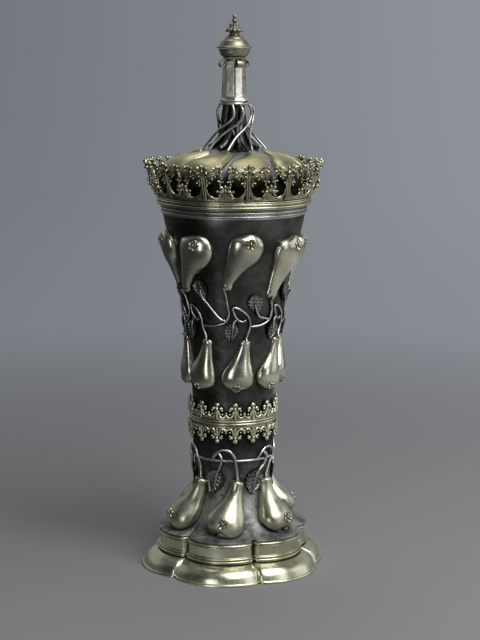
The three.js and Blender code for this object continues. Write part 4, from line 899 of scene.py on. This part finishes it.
def sprig(index, base, to_upper, short, hook_reach):
    """An upper pear's stem, a lower pear's hooked stem and two leaves; turns from the lower neck."""
    level = cup_height(SPRIG_LEVEL)
    fork, turn, rise = SPRIG_FORKS[index], SPRIG_LEAF_TURNS[index], SPRIG_LEAF_RISES[index]
    low_turn = fork - hook_reach
    upper_stem = [(to_upper - 0.5, 19.5 + short, 2.4), (to_upper, 16.9 + short, 0.8), (to_upper + 2.5, 12.8),
                  (to_upper + 3.5, 9), (to_upper, 3.6), (fork + (to_upper - fork) * 0.6, 0.9),
                  (fork + 0.5, 0)]
    lower_stem = [(0, -9.4, 2.2), (0, -7.1, 0.8), (fork * 0.55, -4)]
    lower_stem += [(fork - hook_reach * share, height) for share, height in SPRIG_HOOK]
    stalk = [(to_upper - 0.5, 4.3, 0.2), (to_upper * 0.75, 5.3), (turn + 8, rise - 1.5, 0.3),
             (turn + 4, rise + 2, 0.9), (turn + 1.5, rise + 7, 0.5)]
    low_stalk = [(fork - hook_reach * 0.77, 5.4), (low_turn + 1, 3), (low_turn, -0.5, 0.9),
                 (low_turn - 1, -5.5, 0.5)]
    shape = Shape()
    for route, thin_from in ((upper_stem, 1), (lower_stem, 1), (stalk, 0.6), (low_stalk, 0.5)):
        wire(shape, CUP_WALL.on(route, TWIG_WIRE, base, level), TWIG_WIRE, thin_from)
    piece(f"sprig_{index + 1}_twigs", shape, "beaker", BRIGHT_SILVER, f"sprig_{index + 1}")
    upper_leaf = leaf(CUP_WALL, base + turn, level + rise + 12.5, *UPPER_LEAF)
    piece(f"upper_leaf_{index + 1}", upper_leaf, "beaker", LEAF_SILVER)
    lower_leaf = leaf(CUP_WALL, base + low_turn, level + 2, *LOWER_LEAF)
    piece(f"lower_leaf_{index + 1}", lower_leaf, "beaker", LEAF_SILVER)


def angle_between(first, second):
    return (second - first + 180) % 360 - 180


def sprigs():
    upper = necks(UPPER_PEARS)
    for index, base in enumerate(necks(LOWER_PEARS)):
        following = (index + 1) % len(upper)
        to_upper = angle_between(base, upper[following])
        to_fork = angle_between(upper[index], base + SPRIG_FORKS[index])
        hook_reach = min(to_fork - HOOK_GAP, HOOK_REACH)
        sprig(index, base, to_upper, UPPER_PEARS["short"][following], hook_reach)


# Crestings


LOBE = ((0.0, 0.2, 0.2), (0.34, 0.42, 0.27), (0.68, 0.48, 0.34), (0.94, 0.62, 0.31), (1.05, 0.84, 0.21),
        (0.98, 0.98, 0.08))


def tuft(shape, place, size, lobes, spread, middle):
    """A crocket: curled leaf lobes fanned out from one point. place(x, y, out) gives points."""
    turns = [middle] if lobes == 1 else np.linspace(middle - spread / 2, middle + spread / 2, lobes)
    for number, degrees in enumerate(turns):
        turn = math.radians(degrees)
        length = size * (1.0 if number % 2 else 0.84)
        rows = smooth([[share * length, out * size, radius * size] for share, out, radius in LOBE], 2)
        right, up = math.cos(turn), math.sin(turn)
        path = np.array([place(right * along, up * along, out) for along, out, _ in rows])
        sweep(shape, path, rows[:, 2], sides=7)
    blob(shape, place(0, 0, 0.5 * size), 0.34 * size * np.eye(3), sides=8, rings=6)


def bent_wire(shape, place, route, diameter, strands=1):
    """A wire of one or two strands drawn on a cresting as [across, up] points, then bent with it."""
    flat = smooth([[x, y] for x, y in route], 5)
    along = unit(np.gradient(flat, axis=0))
    beside = np.stack([along[:, 1], -along[:, 0]], axis=-1)
    for strand in range(strands):
        offset = (strand - (strands - 1) / 2) * diameter * 0.86
        path = np.array([place(x, y, diameter * 0.5) for x, y in flat + offset * beside])
        sweep(shape, path, diameter / 2, sides=8)


CROWN_PERIODS = 12
CROWN_PHASE = 24.5
CROWN_WIDTH = 14.1
CROWN_HOOK = ((13.3, 13.2), (13.2, 9.0), (12.1, 5.2), (9.9, 2.8), (7.0, 1.9), (4.2, 2.1), (2.0, 3.4),
              (0.9, 5.6))
CROWN_ARCH = ((13.4, 11.8), (13.0, 15.0), (11.2, 17.6), (8.2, 18.6), (5.2, 18.2), (3.0, 16.4), (2.3, 14.2))


def crown_place(middle, x, y, out):
    """A point of the crown: x and y on its flared wall from a period's middle, out from it."""
    rise = max(y, 0) / CROWN_HEIGHT
    radius = CROWN_RADIUS - 1.0 + (CROWN_FLARE - 0.5) * rise ** 0.6 + out * 0.93
    degrees = middle + x / CROWN_WIDTH * 180 / CROWN_PERIODS
    return polar(radius, degrees, CROWN_BOTTOM + y - out * 0.25)


def spandrel(shape, place, side):
    """The gilt web between a hook and the crown's foot, open beside the rib."""
    hook = smooth(CROWN_HOOK, 3)
    rows = []
    for x in np.linspace(0.6, 11.6, 12):
        high = max(np.interp(-x, -hook[:, 0], hook[:, 1]) - 0.1, 1.2)
        section = ((0.2, 0.5), (high, 0.6), (high, -0.3), (0.2, -0.3))
        rows.append([place(side * x, y, out) for y, out in section])
    shape.add_grid(np.array(rows), wrap_columns=True, capped=True)


# Tufts of half a period: across, up, size, lobes, spread, and the direction up and to the side
CROWN_TUFTS = (
    (12.0, 11.9, 2.1, 3, 150.0, 90, 90), (2.9, 12.8, 1.9, 3, 200.0, 270, 10),
    (2.7, 5.9, 2.6, 3, 150.0, 90, -65), (7.8, 16.6, 2.1, 3, 150.0, 270, 8),
    (4.7, 20.0, 2.9, 5, 220.0, 90, -8),
)


def crown_half(shape, place, tuft_at, side):
    for route in (CROWN_HOOK, CROWN_ARCH):
        bent_wire(shape, place, [(side * x, y) for x, y in route], 1.0, strands=2)
    spandrel(shape, place, side)
    for x, y, size, lobes, spread, upward, sideways in CROWN_TUFTS:
        tuft_at(side * x, y, size, lobes, spread, upward + side * sideways)


def crown_cresting():
    shape = Shape()
    edge = CROWN_RADIUS + 0.2
    band = [[edge - 1.6, CROWN_BOTTOM], [edge - 0.2, CROWN_BOTTOM], [edge, CROWN_BOTTOM + 0.5],
            [edge - 0.2, CROWN_BOTTOM + 1.3], [edge - 1.6, CROWN_BOTTOM + 1.4]]
    add_ring(shape, band)
    for index in range(CROWN_PERIODS):
        middle = CROWN_PHASE + index * 360 / CROWN_PERIODS
        sway = 0.25 * math.sin(index * 2.4)

        def place(x, y, out=0.0):
            return crown_place(middle, x, y, out)

        def tuft_at(x, y, size, lobes, spread, lean=90.0):
            tuft(shape, lambda u, v, out: place(x + u, y + v, out), size, lobes, spread, lean)

        for side in (-1, 1):
            crown_half(shape, place, tuft_at, side)
        rib = [(CROWN_WIDTH, y) for y in (0.8, 6, 12, 20)]
        bent_wire(shape, place, rib, 1.5, strands=2)
        bent_wire(shape, place, [(0, y) for y in (1.2, 4, 8.0)], 0.9, strands=2)
        tuft_at(0, 7.6, 3.5, 5, 200.0)
        tuft_at(CROWN_WIDTH, 20.0 + sway, 3.6, 5, 230.0)
        tuft_at(CROWN_WIDTH, 16.2, 2.3, 2, 180.0)
    piece("crown_foliage", shape, "cover", CROWN_GILT, "crown_cresting", crease=70)


FLEUR_SCROLL = ((0.6, 6.0), (1.3, 4.4), (1.7, 2.8), (2.9, 1.5), (4.4, 1.6), (5.9, 2.9))
FLEUR_PERIODS = 15
FLEUR_PHASE = 2.8
FLEUR_HALF_WIDTH = 5.9
# Knobs across, up, wide, high and out: on both sides of a fleur's stem, and on it or between fleurs
FLEUR_SIDE_KNOBS = ((2.55, 7.3, 3.0, 2.5, 0.55), (3.35, 6.1, 1.5, 1.6, 0.8), (3.5, 3.6, 1.5, 1.6, 0.55))
FLEUR_KNOBS = ((0, 9.6, 3.4, 3.2, 0.55), (0, 7.4, 2.0, 2.0, 1.2), (FLEUR_HALF_WIDTH, 3.9, 1.8, 2.0, 0.55))


def waist_cresting(node, direction):
    """Fleurs on wavy scrolls, standing up from the waist ring or hanging below it."""
    edge = bottom(node) if direction > 0 else top(node)
    radius = reach(node) - 0.9
    shape = Shape()
    low, high = edge - direction * 0.1, edge + direction * 0.9
    add_ring(shape, [[radius - 0.6, low], [radius + 0.4, low], [radius + 0.4, high], [radius - 0.6, high]])
    for index in range(FLEUR_PERIODS):
        middle = FLEUR_PHASE + index * 360 / FLEUR_PERIODS

        def place(x, y, out=0.0):
            turn = x / FLEUR_HALF_WIDTH * 180 / FLEUR_PERIODS
            return polar(radius + out, middle + turn, edge + direction * y)

        def knob(x, y, wide, high, out):
            centre = place(x, y, out)
            right = unit(place(x + 1, y, out) - centre) * wide / 2
            raised = unit(place(x, y, out + 1) - centre) * 0.95
            blob(shape, centre, np.array([right, [0, 0, high / 2], raised]), sides=12, rings=8)

        bent_wire(shape, place, [(0, 0.4), (0, 3.5), (0, 7.4)], 1.9)
        for side in (-1, 1):
            bent_wire(shape, place, [(side * x, y) for x, y in FLEUR_SCROLL], 1.6)
            for x, *rest in FLEUR_SIDE_KNOBS:
                knob(side * x, *rest)
        for sizes in FLEUR_KNOBS:
            knob(*sizes)
    piece(node + "_fleurs", shape, "beaker", GILT, node, crease=70)


# Rings, cup and cover


def waist_ring():
    outline = reeded(*ends("waist_ring"), reach("waist_ring"), 1.9, (-0.6, 0.35, 0.3), (0, 1.3, 0.7),
                     (-0.8, 2.2, 0.2), (0, 3.0, 0.65), (-0.6, -0.3, 0.25))
    piece("waist_ring_reeds", turned(outline), "beaker", GILT, "waist_ring")


def cup():
    inside = shifted(CUP_WALL.outline[9:], -SHEET)
    inside[-1] = [MOUTH_RADIUS - SHEET, CUP_TOP]
    floor = bottom("beaker_body") + 1.6
    bowl = runs([[0, floor], [STEM_RADIUS - 5, floor], [STEM_RADIUS - 1.9, floor + 1.4], inside[0]])
    outline = np.vstack([[0, CUP_BOTTOM], CUP_WALL.outline, inside[::-1], bowl[::-1]])
    piece("cup_wall", turned(outline, ring=False), "beaker", DARK_SILVER, "beaker_body")


def lip_and_ring():
    lip = reeded(*ends("lip_moulding"), reach("lip_moulding"), 1.2, (-0.9, 0.5, 0.4), (-0.1, 1.6, 0.6),
                 (-0.7, 2.5, 0.25), (0, 3.9, 0.8), (-0.4, -0.6, 0.4))
    piece("lip_reeds", turned(lip), "beaker", BRIGHT_SILVER, "lip_moulding")
    ring = reeded(*ends("cover_ring"), COVER_RING_RADIUS, 4.2, (-0.9, 0.4, 0.35), (0, 1.5, 0.65),
                  (-0.8, 2.5, 0.3), (-0.2, 3.5, 0.6), (-0.8, 4.4, 0.25), (-0.3, -0.6, 0.5))
    piece("cover_ring_reeds", turned(ring), "cover", GILT, "cover_ring")


def bezel():
    low, high = ends("cover_bezel")
    outer = reach("cover_bezel")
    entry = CUP_WALL.at(CUP_WALL.where(1, low))[0] - 1.7
    outline = runs([[entry - 0.4, low], [entry, low + 0.6], [outer, high - 7], [outer, high]],
                   [[outer - 1.1, high]],
                   [[entry - 1.1, low + 0.4], [entry - 0.4, low]])
    piece("cover_bezel_sleeve", turned(outline), "cover", BRIGHT_SILVER, "cover_bezel")


def dome():
    inside = shifted(DOME_WALL.outline, -1.1)[::-1]
    inside[0] = [0, top("cover_dome") - 1.1]
    inside[-1][1] = CROWN_BOTTOM
    outline = np.vstack([inside, DOME_WALL.outline])
    piece("cover_dome_ground", turned(outline, ring=False), "cover", DOME_SILVER, "cover_dome")


# Finial


ROOTS = 7
ROOT_PHASE = 12
# A root's middle: radius from the trunk's neck, share of its twist, and height
ROOT_ROUTE = ((5.6, 0.1, 3.6), (2.4, 0.3, 8.8), (0.9, 0.6, 15.5), (0.6, 0.85, 22.5))
SHOOTS = 6
SHOOT_ANGLE = 12


def add_roots(shape, foot, neck, low, high):
    for index in range(ROOTS):
        angle = ROOT_PHASE + index * 360 / ROOTS + 9 * math.sin(index * 2.2)
        twist = 46 + 16 * math.sin(index * 1.7)
        thick = 2.2 + 0.35 * math.sin(index * 3.1)
        start, end = polar(foot - 0.6, angle, low + 0.9), polar(neck + 0.4, angle + twist, high - 0.2)
        middle = [polar(neck + out, angle + twist * share, low + rise) for out, share, rise in ROOT_ROUTE]
        path = smooth([start, *middle, end], 7)
        share = np.linspace(0, 1, len(path))
        knots = 1 + 0.12 * np.sin(share * 17 + index * 2) + 0.06 * np.sin(share * 41 + index)
        swell = 0.62 + 0.38 * np.sin(math.pi * (0.12 + 0.76 * share))
        sweep(shape, path, thick * swell * knots, sides=12)


def add_shoots(shape, foot, neck, low):
    for index in range(SHOOTS):
        angle = SHOOT_ANGLE + 11 * math.sin(index * 1.9)
        rise = TRUNK_HEIGHT * (0.62 - 0.055 * index)
        lean = 16 * math.sin(index * 2.7)
        path = smooth([
            polar(neck + 2.0, angle - lean, low + rise), polar(neck + 3.6, angle, low + rise * 0.6),
            polar(neck + 6.4, angle + lean * 0.6, low + rise * 0.28),
            polar(foot + 1.2, angle + lean, low - 0.6),
        ], 6)
        sweep(shape, path, np.linspace(1.25, 0.75, len(path)), sides=8)


def trunk():
    """A dark core wrapped in twisted roots that spread over the dome, with a tangle of shoots."""
    foot, neck = TRUNK_FOOT_RADIUS, TRUNK_RADIUS - 2.0
    low, high = TRUNK_BOTTOM, TRUNK_BOTTOM + TRUNK_HEIGHT
    outline = runs(
        [[0, high], [neck, high]],
        [[neck - 0.3, low + TRUNK_HEIGHT * 0.7], [neck, low + TRUNK_HEIGHT * 0.45],
         [neck + 1.8, low + TRUNK_HEIGHT * 0.25], [neck + 4.6, low + TRUNK_HEIGHT * 0.1], [foot - 1.6, low]],
        [[foot - 3.4, low + 0.4]],
        [[neck + 2.4, low + 3.5], [neck - 1.4, low + 9], [neck - 1.6, high - 1.4]],
        [[0, high - 1.4]],
        steps=8,
    )
    shape = turned(outline, ring=False, degrees=COARSE_TURN)
    add_roots(shape, foot, neck, low, high)
    add_shoots(shape, foot, neck, low)
    piece("trunk_bark", shape, "cover", DARK_SILVER, "finial_trunk")


COVER_STEM_WINDS = (63, 80, 85, 95, 76, 112, 79, 97)
COVER_STEM_PROUD = (1.5, 0, 1.5, 0, 0, 0, 1.5, 0)
# A stem's middle: radius from the trunk, shares of its proudness and winding, and of the trunk's height
COVER_STEM_ROUTE = ((6.2, 0.5, 0.16, 0.28), (3.1, 1, 0.48, 0.46), (2.6, 1, 0.82, 0.61), (3.4, 1, 1, 0.775),
                    (3.2, 1, 0.98, 0.92))


def stems():
    collar = bottom("finial_pillar") - SEAT_GAP - 1.6
    rim = TRUNK_RADIUS + 2.4
    shape = Shape()
    add_ring(shape, reeded(collar, collar + 1.6, rim, 3.4, (0, 0.8, 0.95)))
    start = DOME_WALL.where(0, TRUNK_FOOT_RADIUS + 3.9)
    for angle, wind, proud in zip(necks(COVER_PEARS), COVER_STEM_WINDS, COVER_STEM_PROUD):
        points = [DOME_WALL.over(start, angle, 1.9)]
        for out, push, turn, rise in COVER_STEM_ROUTE:
            radius = TRUNK_RADIUS + out + proud * push
            points.append(polar(radius, angle + wind * turn, TRUNK_BOTTOM + TRUNK_HEIGHT * rise))
        points.append(polar(rim - 0.9, angle + wind * 0.93, collar + 0.9))
        wire(shape, points, STEM_WIRE)
    piece("finial_stem_wires", shape, "cover", BRIGHT_SILVER, "finial_stems")


def add_eight_sided(shape, outline):
    """A wall of the pillar's plan, whose sides meet in narrow grooves, from radii and heights."""
    corners = PILLAR_TURN + (np.arange(PILLAR_SIDES) + 0.5) * 360 / PILLAR_SIDES
    degrees = (corners[:, None] + [-PILLAR_GROOVE, 0, PILLAR_GROOVE]).ravel()
    plan = np.tile([0.985, 0.95, 0.985], PILLAR_SIDES)
    rows = [polar(radius * plan, degrees, height) for radius, height in outline]
    shape.add_grid(np.array(rows), wrap_columns=True, capped=True)


def add_face_frame(shape, facing, low, high):
    """The raised line that frames one face of the pillar, with a pointed head."""
    half = 2.35
    normal, across = polar(1.0, facing, 0.0), polar(1.0, facing + 90, 0.0)
    flat = math.cos(math.pi / PILLAR_SIDES)
    corners = []
    frame_line = near(0, high, (-half, -4.4), (0, -2.4), (half, -4.4)) + near(0, low, (half, 3), (-half, 3))
    for x, y in [(-half, low + 3), *frame_line]:
        rise = (y - low - 3) / (high - low - 8)
        radius = PILLAR_RADIUS - 0.15 + (PILLAR_TOP_RADIUS + 0.1 - PILLAR_RADIUS) * rise
        corners.append(normal * (radius * flat + 0.02) + across * x + [0, 0, y])
    path = np.vstack([np.linspace(a, b, 5)[:-1] for a, b in zip(corners, corners[1:])])
    sweep(shape, np.vstack([path, path[:1]]), 0.25, sides=6)


def pillar():
    low, high = ends("finial_pillar")
    shape = Shape()
    add_eight_sided(shape, near(
        PILLAR_RADIUS, low, (-2.0, 0), (0.7, 0), (1.0, 0.45), (1.0, 0.9), (0.7, 1.3), (0.2, 1.6), (-0.1, 2.2),
        (-0.2, 4), (-0.6, 12)) + near(PILLAR_TOP_RADIUS, high, (0.1, -10), (0, -0.6), (0, 0), (-3.4, 0)))
    for face in range(PILLAR_SIDES):
        add_face_frame(shape, PILLAR_TURN + face * 360 / PILLAR_SIDES, low, high)
    piece("pillar_shaft", shape, "cover", PILLAR_GILT, "finial_pillar", crease=24)


# A scroll's side view, from its root on the cap and from the cap's level
SCROLL = ((-1.4, 0.3), (0.8, 0.3), (2.2, -0.4), (2.9, -1.7), (2.7, -3.0), (1.8, -3.7), (1.0, -3.2),
          (1.0, -2.3), (1.6, -1.9), (1.9, -2.4))
STRAP_HALF = 2.1
STRAP_SECTION = ((-1, -0.4), (-1, 0.4), (-0.7, 0.55), (0, 0.45), (0.7, 0.55), (1, 0.4), (1, -0.4), (0, -0.45))


def scroll_cap():
    level = top("scroll_cap") - 1.2
    root = PILLAR_TOP_RADIUS * math.cos(math.pi / PILLAR_SIDES)
    edge = PILLAR_TOP_RADIUS - 0.1
    shape = Shape()
    rim = near(edge, level, (-0.3, 0), (0, 0.3), (0, 0.8), (-0.4, 1.2))
    add_eight_sided(shape, [(5.0, level), *rim, (5.0, level + 1.2)])
    outline = smooth(near(root, 0, *SCROLL), 5)
    for facing in PILLAR_TURN + np.arange(4) * 90:
        outward, across = polar(1.0, facing, 0.0), polar(1.0, facing + 90, 0.0)
        path = outline[:, :1] * outward + np.array([0, 0, level]) + outline[:, 1:] * np.array([0, 0, 1.0])
        out = np.cross(unit(np.gradient(path, axis=0)), across)
        section = [path + across * STRAP_HALF * x + out * y for x, y in STRAP_SECTION]
        shape.add_grid(np.stack(section, axis=1), wrap_columns=True, capped=True)
    piece("scroll_cap_straps", shape, "cover", FINIAL_GILT, "scroll_cap", crease=50)


def knops():
    low, high = ends("knop_lower")
    outer = reach("knop_lower")
    neck = PILLAR_TOP_RADIUS - 0.5
    bowl = runs(
        [[PIN_HOLE, low], [neck, low]],
        near(neck, low, (0.3, 0.3), (0.3, 0.8), (0, 1.0)),
        near(neck, low, (1.3, 1.7), (2.3, 3.1)) + near(outer, high, (-1.6, -1.5), (-1.2, -0.6), (-1.3, 0)),
        [[PIN_HOLE, high]],
    )
    piece("knop_bowl", turned(bowl), "cover", FINIAL_GILT, "knop_lower")
    low, high = ends("knop_upper")
    roof = runs(
        [[PIN_HOLE, low], [outer - 0.4, low]],
        near(outer, low, (0, 0.3), (0, 0.8), (-0.5, 1.2)),
        near(outer, low, (-1.2, 1.9), (-1.9, 3.0), (-3.1, 4.6), (-4.8, 5.9), (-5.9, 7.2))
        + near(0, high, (4.0, -1.1), (3.4, -0.4), (3.2, 0)),
        [[PIN_HOLE, high]],
    )
    piece("knop_roof", turned(roof), "cover", FINIAL_GILT, "knop_upper")


# The spire's outline above the knop: radius, and share of the height
SPIRE = (
    ((0, 0), (3.1, -0.02)),
    ((3.2, 0.03), (3.5, 0.07), (4.6, 0.1), (5.5, 0.13), (5.7, 0.17), (5.6, 0.23), (4.8, 0.27)),
    ((3.9, 0.3), (3.3, 0.36), (3.2, 0.42), (3.3, 0.47), (3.0, 0.51), (1.6, 0.54), (0.9, 0.56)),
    ((1.35, 0.6), (1.55, 0.67), (1.35, 0.75), (0.8, 0.79)),
    ((1.15, 0.83), (1.3, 0.89), (1.1, 0.95), (0.5, 0.99), (0, 1)),
)


def spire():
    low = top("knop_upper") + SEAT_GAP
    rise = top("finial_spire") - low
    outline = runs(*([[radius, low + share * rise] for radius, share in part] for part in SPIRE))
    outline[0, 1] = low - SEAT_GAP

    def petals(radius, degrees, height):
        wave = np.abs(np.cos(np.radians(degrees * 4)))
        star = np.clip((radius - 3.5) / 2.0, 0, 1)
        above = np.clip((height - low - 0.3 * rise) / rise * 20, 0, 1)
        bud = above * np.clip((radius - 1.6) / 1.4, 0, 1)
        return radius * (1 - (star * 0.2 + bud * (1 - star) * 0.16) * (1 - wave)), height - star * 0.5 * wave

    piece("spire_flower", turned(outline, ring=False, change=petals), "cover", FINIAL_GILT, "finial_spire")


# Stage, light and camera


def backdrop_finish():
    """Matt grey, painted lighter to the right, that glows far from the beaker: for the camera as painted
    light that grows from the left to the right, and in the silver as a painted room reflection, dark on the
    left and lit to the right, behind and above, with a painted floor reflection near the beaker, dark on the
    left and bright on the right.
    """
    graph = Graph("backdrop", "stage")
    place = graph.node("TexCoord").outputs["Object"]
    parts = graph.node("SeparateXYZ", Vector=place).outputs
    x, y, z = parts["X"], parts["Y"], parts["Z"]
    flat = graph.node("CombineXYZ", X=x, Y=y).outputs["Vector"]
    distance = graph.node("VectorMath", {"operation": "LENGTH"}, Vector=flat).outputs["Value"]
    far = graph.span(distance, 0.25, 0.95)
    rays = graph.node("LightPath").outputs
    camera_ray, glossy_ray = rays["Is Camera Ray"], rays["Is Glossy Ray"]
    seen = graph.math("MAXIMUM", camera_ray, glossy_ray)
    # Painted light seen by the camera: the backdrop glows darker on the left and lighter on the right.
    painted_backdrop_light = graph.fade(x, -1.1, 1.3, (0.155, 0.17, 0.19), (0.30, 0.32, 0.35))
    # Painted reflection for the silver: a room that is dark on the left and lit to the right, behind and
    # above, and near the beaker a floor that is dark on the left and bright on the right.
    behind = graph.math("MULTIPLY", graph.span(y, -0.4, 1.6), graph.span(z, 0.2, 0.9, 0.25, 1.0))
    lit = graph.math("MAXIMUM", graph.span(x, -0.2, 2.4, 0.0, 0.7), behind)
    wall = graph.mix(lit, (0.032, 0.033, 0.035), (0.38, 0.39, 0.40))
    painted_floor_reflection = graph.fade(x, -0.15, 0.3, (0.04, 0.04, 0.04), (0.45, 0.45, 0.44))
    room = graph.fade(distance, 0.4, 1.2, painted_floor_reflection, wall)
    glow = graph.node("Emission", Color=graph.mix(glossy_ray, painted_backdrop_light, room))
    # The floor's grey is painted lighter to the right, as painted light.
    floor_grey_with_painted_light = graph.fade(x, -0.3, 0.4, (0.215, 0.22, 0.228), (0.275, 0.275, 0.285))
    graph.put(graph.shader.inputs["Base Color"], floor_grey_with_painted_light)
    graph.shader.inputs["Roughness"].default_value = 0.85
    blend = graph.node("MixShader")
    mirrored = graph.math("MULTIPLY", glossy_ray, graph.span(distance, 0.08, 0.3))
    graph.put(blend.inputs[0], graph.math("MAXIMUM", mirrored, graph.math("MULTIPLY", far, seen)))
    graph.put(blend.inputs[1], graph.shader.outputs["BSDF"])
    graph.put(blend.inputs[2], glow.outputs["Emission"])
    graph.put(graph.tree.nodes["Material Output"].inputs["Surface"], blend.outputs["Shader"])
    return graph.material


def stage():
    """A pale floor that curves up into a round backdrop."""
    edge, bend, wall = 2300.0, 900.0, 2600.0
    turn = np.linspace(0, math.pi / 2, 14)
    curve = np.stack([edge + bend * np.sin(turn), bend - bend * np.cos(turn)], axis=-1)
    outline = np.vstack([[0, 0], [400, 0], curve, [edge + bend, wall]])
    shape = turned(outline, ring=False, degrees=COARSE_TURN)
    floor = add_to_scene("floor", shape.mesh("floor", 80))
    floor.data.materials.append(backdrop_finish())


LAMPS = {
    "key": ((0.53, -0.64, 1.23), (0, 0, 0.17), (0.9, 0.9), 15.5),
    "low_key": ((1.0, -0.86, 0.32), (0, 0, 0.17), (0.34, 0.8), 1.4),
    "side": ((1.5, 0.25, 0.55), (0, 0, 0.16), (1.0, 1.3), 3.2),
    "fill": ((-0.5, -1.0, 0.26), (0, 0, 0.21), (0.3, 0.46), 1.2),
    "card": ((-0.26, -0.5, 0.05), (0, 0, 0.22), (0.1, 0.2), 0.16),
    "overhead": ((0.0, 0.5, 1.5), (0, 0, 0.1), (0.8, 0.8), 3.6),
}
ROOM_COLOUR = (0.42, 0.43, 0.45, 1.0)
ROOM_STRENGTH = 0.22


def lights():
    """Softboxes, each with its place, the point that it faces, its size and its watts, and a room."""
    for name, (place, aim, size, watts) in LAMPS.items():
        lamp = bpy.data.lights.new(name, "AREA")
        lamp.shape = "RECTANGLE"
        lamp.size, lamp.size_y = size
        lamp.energy = watts
        made = add_to_scene(name, lamp)
        made.location = place
        made.rotation_euler = (Vector(aim) - Vector(place)).to_track_quat("-Z", "Y").to_euler()
    world = bpy.data.worlds.new("room")
    world.use_nodes = True
    background = world.node_tree.nodes["Background"]
    background.inputs["Color"].default_value = ROOM_COLOUR
    background.inputs["Strength"].default_value = ROOM_STRENGTH
    bpy.context.scene.world = world


CAMERA_PLACE = (0, -1.0552, 0.3437)
CAMERA_PITCH = math.radians(9.73)
CAMERA_YAW = math.radians(0.233)
CAMERA_ROLL = math.radians(0.248)
CAMERA_LENS = 91.7


def camera():
    lens = bpy.data.cameras.new("camera")
    lens.lens = CAMERA_LENS
    lens.sensor_width = 36.0
    made = add_to_scene("camera", lens)
    level = Matrix.Rotation(-CAMERA_YAW, 4, "Z")
    aim = level @ Matrix.Rotation(math.pi / 2 - CAMERA_PITCH, 4, "X") @ Matrix.Rotation(CAMERA_ROLL, 4, "Z")
    made.matrix_world = Matrix.Translation(CAMERA_PLACE) @ aim
    bpy.context.scene.camera = made


foot_flange()
foot_mouldings()
foot_trumpet()
foot_pears()
foot_garland()
waist_ring()
waist_cresting("waist_cresting_upper", 1)
waist_cresting("waist_cresting_lower", -1)
cup()
cup_pears()
sprigs()
lip_and_ring()
bezel()
dome()
cover_pears()
crown_cresting()
trunk()
stems()
pillar()
scroll_cap()
knops()
spire()
stage()
lights()
camera()

bpy.context.scene.view_settings.view_transform = "Standard"
